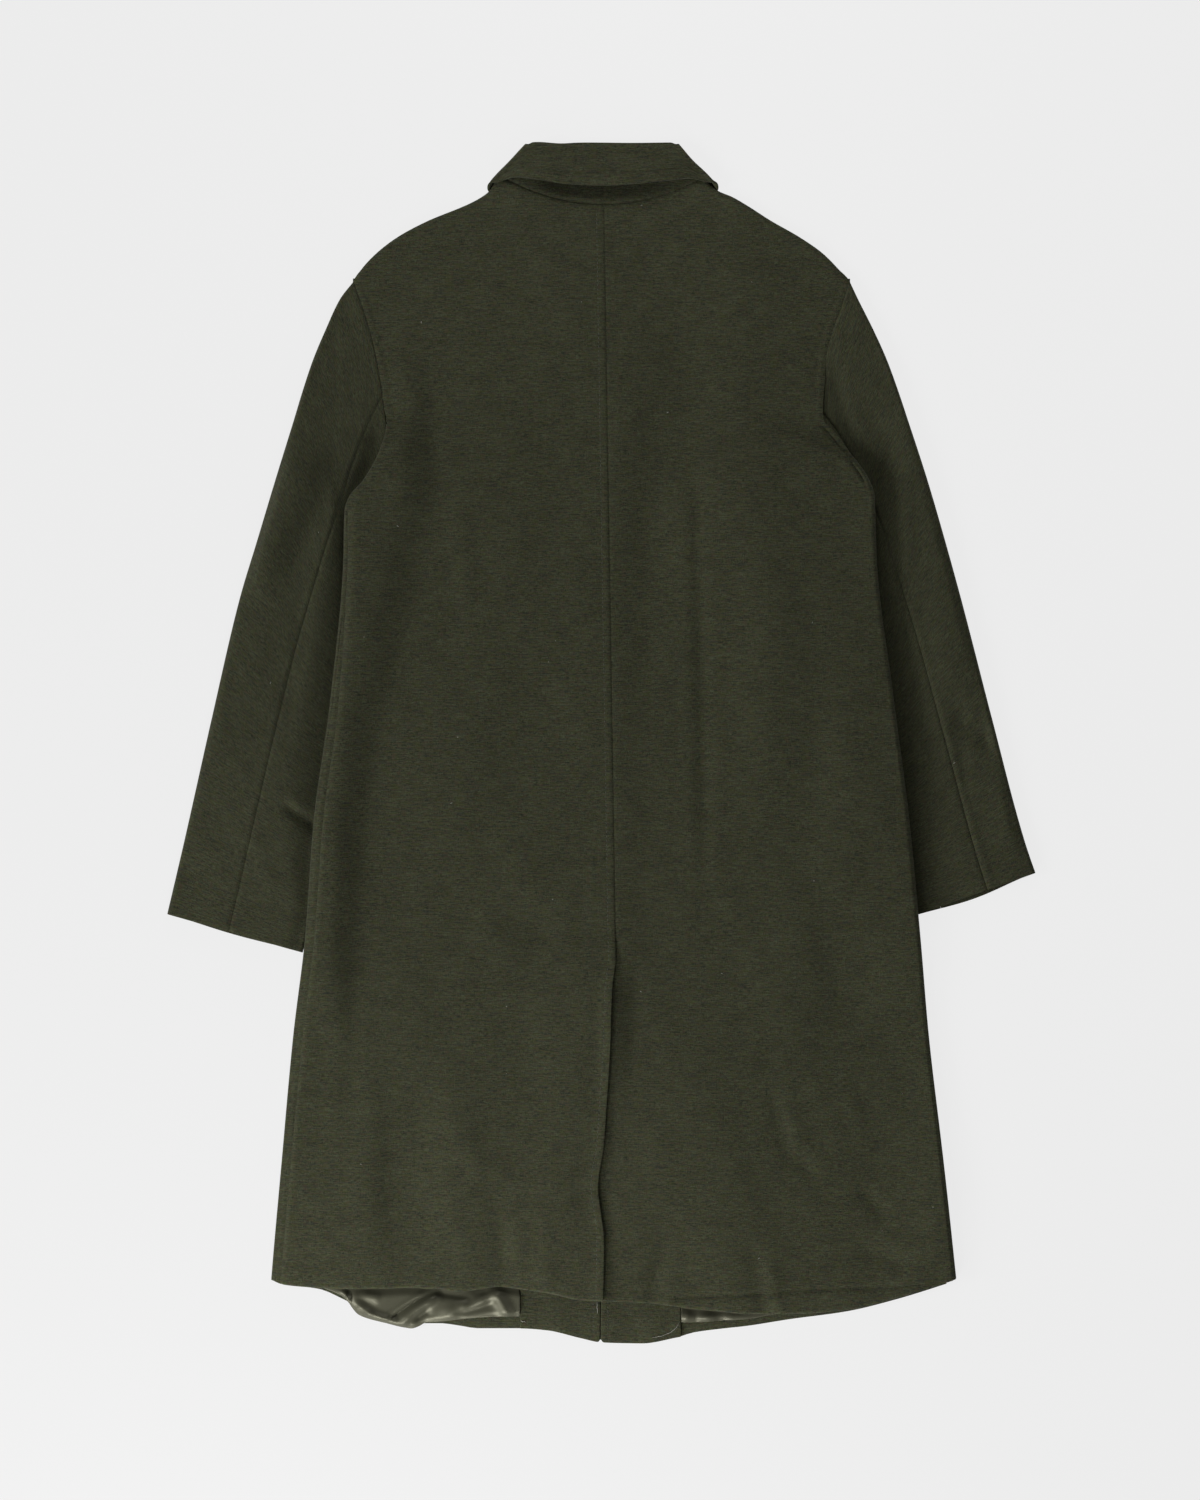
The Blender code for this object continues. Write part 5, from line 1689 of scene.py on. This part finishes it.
def yarn_material(name, colour):
    """Twisted thread or fibre: bands of colour along it."""
    material = bpy.data.materials.new(name)
    material.use_nodes = True
    tree = material.node_tree
    shader = tree.nodes["Principled BSDF"]
    shader.inputs["Roughness"].default_value = YARN_ROUGHNESS
    place = tree.nodes.new("ShaderNodeTexCoord")
    noise = add_noise(tree, place.outputs["Object"], YARN_CELLS, YARN_DETAIL)
    ramp = tree.nodes.new("ShaderNodeValToRGB")
    for element, tone in zip(ramp.color_ramp.elements, (YARN_DARK, YARN_LIGHT)):
        element.color = (*(tone * channel for channel in colour), 1.0)
    tree.links.new(noise, ramp.inputs["Fac"])
    tree.links.new(ramp.outputs["Color"], shader.inputs["Base Color"])
    return material


def top_of_cloth(trees, x, y):
    """Highest cloth at a place."""
    start = Vector((x * MM, y * MM, ABOVE_ALL))
    heights = []
    for tree in trees:
        hit = tree.ray_cast(start, Vector((0.0, 0.0, -1.0)))[0]
        if hit is not None:
            heights.append(hit.z / MM)
    return max(heights, default=0.0)


def cloth_trees():
    """Search trees of the finished sheets."""
    graph = bpy.context.evaluated_depsgraph_get()
    names = sorted(item.name for item in bpy.data.objects if item.name.endswith("_cloth"))
    return [BVHTree.FromObject(bpy.data.objects[name], graph) for name in names]


def yarn_mesh(name, paths, radius):
    """Tubes with pointed ends along short paths, joined to one piece."""
    points = []
    faces = []
    ring = math.tau * np.arange(YARN_SIDES)[None, :, None] / YARN_SIDES
    for path in paths:
        path = np.array(path, dtype=float)
        count = len(path)
        way = unit(np.gradient(path, axis=0))
        across = unit(np.cross(way, (0.0, 0.0, 1.0)))
        above = np.cross(across, way)
        swell = YARN_SWELL * np.sin(np.linspace(YARN_END, math.pi - YARN_END, count))
        size = radius * np.clip(swell, YARN_LEAST, 1.0)[:, None, None]
        first = len(points)
        tube = across[:, None] * np.cos(ring) + above[:, None] * np.sin(ring)
        points += list((path[:, None] + size * tube).reshape(-1, 3))
        for here in range(first, first + (count - 1) * YARN_SIDES, YARN_SIDES):
            for k in range(YARN_SIDES):
                after = (k + 1) % YARN_SIDES
                faces.append((here + k, here + after, here + YARN_SIDES + after, here + YARN_SIDES + k))
        faces.append([first + k for k in reversed(range(YARN_SIDES))])
        faces.append([first + (count - 1) * YARN_SIDES + k for k in range(YARN_SIDES)])
    mesh = bpy.data.meshes.new(name)
    mesh.from_pydata((np.array(points) * MM).tolist(), [], faces)
    piece = bpy.data.objects.new(name, mesh)
    bpy.context.scene.collection.objects.link(piece)
    activate(piece)
    bpy.ops.object.mode_set(mode="EDIT")
    bpy.ops.mesh.select_all(action="SELECT")
    bpy.ops.mesh.normals_make_consistent(inside=False)
    bpy.ops.object.mode_set(mode="OBJECT")
    bpy.ops.object.shade_smooth()
    return piece


def stitch_paths(trees, line):
    """Split a line of sewing into stitches that lie on the cloth and dive in at their ends."""
    run = np.concatenate(((0.0,), np.cumsum(np.linalg.norm(np.diff(line, axis=0), axis=1))))
    dive = STITCH_SINK * np.array(STITCH_DIVE)
    paths = []
    for start in np.arange(0.0, run[-1] - STITCH_LENGTH, STITCH_PITCH):
        spots = start + STITCH_LENGTH * np.linspace(0.0, 1.0, len(STITCH_DIVE))
        x = np.interp(spots, run, line[:, 0])
        y = np.interp(spots, run, line[:, 1])
        z = np.array([top_of_cloth(trees, *spot) for spot in zip(x, y)])
        paths.append(np.stack((x, y, z + STITCH_RISE - dive), axis=1))
    return paths


def stitch_lines():
    """Lines of topstitching: centre back, vent, then the facings."""
    seam_y = np.linspace(*SEAM_STITCHES_Y, SEAM_POINTS)
    vent_y = np.linspace(*VENT_STITCHES_Y, VENT_POINTS)
    lines = [
        np.stack((centre_back(seam_y) - STITCH_INSET, seam_y), axis=1),
        np.stack((vent_edge(vent_y) - STITCH_INSET, vent_y), axis=1),
    ]
    for side in SIDES:
        facing_y = np.linspace(*FACING_STITCHES_Y[side], FACING_POINTS)
        facing_x = np.full(FACING_POINTS, FACING_EDGE[side] + outer_sign(side) * STITCH_INSET)
        lines.append(np.stack((facing_x, facing_y), axis=1))
    return lines


def lay_on_cloth(trees, spots, rise):
    """Path of a fibre that lies on the cloth."""
    return [(x, y, top_of_cloth(trees, x, y) + rise) for x, y in spots]


def lint_spots(number, x, y):
    """Short bent fibre at a place, turned and sized by its number."""
    turn = LINT_TURN * number
    reach = LINT_REACH + LINT_REACH_CHANGE * math.sin(LINT_REACH_TURN * number)
    spots = np.linspace(-reach, reach, LINT_POINTS)
    return zip(x + spots * math.cos(turn) + LINT_BEND * spots ** 2, y + spots * math.sin(turn))


class COAT_OT_backs(bpy.types.Operator):
    """Make both back panels with the centre seam and the vent"""

    bl_idname = "coat.backs"
    bl_label = "Back panels"

    def execute(self, context):
        for side in SIDES:
            make_back(side, wool_material())
        return {"FINISHED"}


class COAT_OT_fronts(bpy.types.Operator):
    """Make both front panels, which lie on the floor"""

    bl_idname = "coat.fronts"
    bl_label = "Front panels"

    def execute(self, context):
        for side in SIDES:
            make_front(side, wool_material())
        return {"FINISHED"}


class COAT_OT_facings(bpy.types.Operator):
    """Make the facings inside the front edges"""

    bl_idname = "coat.facings"
    bl_label = "Facings"

    def execute(self, context):
        for side in SIDES:
            make_facing(side, wool_material())
        return {"FINISHED"}


class COAT_OT_linings(bpy.types.Operator):
    """Make the satin lining of both fronts"""

    bl_idname = "coat.linings"
    bl_label = "Linings"

    def execute(self, context):
        satin = satin_material()
        for side in SIDES:
            make_lining(side, satin)
        return {"FINISHED"}


class COAT_OT_sleeves(bpy.types.Operator):
    """Make the top and under pieces of both sleeves"""

    bl_idname = "coat.sleeves"
    bl_label = "Sleeves"

    def execute(self, context):
        for side in SIDES:
            make_sleeve(side, wool_material())
        return {"FINISHED"}


class COAT_OT_collar(bpy.types.Operator):
    """Make the collar's stand and fall"""

    bl_idname = "coat.collar"
    bl_label = "Collar"

    def execute(self, context):
        make_collar_stand(wool_material())
        make_collar_fall(wool_material())
        return {"FINISHED"}


class COAT_OT_sewing(bpy.types.Operator):
    """Sew the topstitching of the centre back, the vent and the facings"""

    bl_idname = "coat.sewing"
    bl_label = "Topstitching"

    def execute(self, context):
        trees = cloth_trees()
        paths = [path for line in stitch_lines() for path in stitch_paths(trees, line)]
        piece = yarn_mesh("topstitching", paths, STITCH_RADIUS)
        colour = context.scene.coat_colours.thread
        finish_piece(piece, yarn_material("sewing_thread", colour))
        return {"FINISHED"}


class COAT_OT_lint(bpy.types.Operator):
    """Drop the lint and the stray threads that lie on the cloth"""

    bl_idname = "coat.lint"
    bl_label = "Lint"

    def execute(self, context):
        trees = cloth_trees()
        paths = [
            lay_on_cloth(trees, lint_spots(number, *place), LINT_RISE)
            for number, place in enumerate(LINT)
        ]
        paths += [lay_on_cloth(trees, thread, THREAD_RISE) for thread in STRAY_THREADS]
        piece = yarn_mesh("lint", paths, LINT_RADIUS)
        finish_piece(piece, yarn_material("lint_fibre", context.scene.coat_colours.lint))
        return {"FINISHED"}


class COAT_OT_stage(bpy.types.Operator):
    """Set the floor, the light and the camera"""

    bl_idname = "coat.stage"
    bl_label = "Stage"

    def execute(self, context):
        make_floor(context.scene.coat_colours.floor)
        make_light(context.scene)
        make_camera(context.scene)
        return {"FINISHED"}


def make_floor(colour):
    """Wide pale floor."""
    bpy.ops.object.select_all(action="DESELECT")
    bpy.ops.mesh.primitive_grid_add(
        x_subdivisions=FLOOR_CELLS, y_subdivisions=FLOOR_CELLS, size=FLOOR_SIZE)
    floor = bpy.context.object
    floor.name = "floor"
    material = bpy.data.materials.new("pale_floor")
    material.use_nodes = True
    tree = material.node_tree
    shader = tree.nodes["Principled BSDF"]
    shader.inputs["Roughness"].default_value = FLOOR_ROUGHNESS
    shader.inputs["Specular IOR Level"].default_value = FLOOR_GLOSS
    shader.inputs["Base Color"].default_value = (*(FLOOR_SHARE * channel for channel in colour), 1.0)
    shader.inputs["Emission Color"].default_value = (*colour, 1.0)
    shader.inputs["Emission Strength"].default_value = 1.0 - FLOOR_SHARE
    floor.data.materials.append(material)


def make_light(scene):
    """A little even light, and soft lamps on the left, on the right, below and above."""
    world = bpy.data.worlds.new("studio")
    world.use_nodes = True
    background = world.node_tree.nodes["Background"]
    background.inputs["Color"].default_value = (1.0, 1.0, 1.0, 1.0)
    background.inputs["Strength"].default_value = WORLD_LIGHT
    scene.world = world
    for lamp in LAMPS:
        area = bpy.data.lights.new(lamp.name, "AREA")
        area.energy = lamp.power
        area.size = lamp.size
        light = bpy.data.objects.new(lamp.name, area)
        light.location = lamp.place
        light.rotation_euler = (-Vector(lamp.place)).to_track_quat("-Z", "Y").to_euler()
        light.visible_camera = False
        scene.collection.objects.link(light)
    scene.view_settings.view_transform = "Standard"


def make_camera(scene):
    """Camera straight above the coat."""
    lens = bpy.data.cameras.new("camera")
    lens.sensor_fit = "VERTICAL"
    lens.sensor_height = SENSOR
    lens.lens = SENSOR * CAMERA_HEIGHT / FRAME_HEIGHT
    camera = bpy.data.objects.new("camera", lens)
    camera.location = (*FRAME_CENTRE, CAMERA_HEIGHT)
    scene.collection.objects.link(camera)
    scene.camera = camera


OPERATORS = (
    COAT_OT_stage, COAT_OT_fronts, COAT_OT_facings, COAT_OT_linings, COAT_OT_sleeves,
    COAT_OT_backs, COAT_OT_collar, COAT_OT_sewing, COAT_OT_lint,
)


class COAT_PT_panel(bpy.types.Panel):
    """Pieces of the coat in the order they are made"""

    bl_idname = "COAT_PT_panel"
    bl_label = "Overcoat"
    bl_space_type = "VIEW_3D"
    bl_region_type = "UI"
    bl_category = "Overcoat"

    def draw(self, context):
        for operator in OPERATORS:
            self.layout.operator(operator.bl_idname)
        for group in (context.scene.coat_sizes, context.scene.coat_colours):
            for name in group.bl_rna.properties.keys():
                if name not in ("rna_type", "name"):
                    self.layout.prop(group, name)


CLASSES = (CoatSizes, CoatColours, *OPERATORS, COAT_PT_panel)


def register():
    """Register the classes and their settings."""
    for item in CLASSES:
        bpy.utils.register_class(item)
    bpy.types.Scene.coat_sizes = bpy.props.PointerProperty(type=CoatSizes)
    bpy.types.Scene.coat_colours = bpy.props.PointerProperty(type=CoatColours)


def unregister():
    """Remove the settings and the classes."""
    del bpy.types.Scene.coat_colours
    del bpy.types.Scene.coat_sizes
    for item in reversed(CLASSES):
        bpy.utils.unregister_class(item)


def main():
    """Make every piece."""
    register()
    bpy.ops.coat.stage()
    bpy.ops.coat.fronts()
    bpy.ops.coat.facings()
    bpy.ops.coat.linings()
    bpy.ops.coat.sleeves()
    bpy.ops.coat.backs()
    bpy.ops.coat.collar()
    bpy.ops.coat.sewing()
    bpy.ops.coat.lint()


if __name__ == "__main__":
    main()
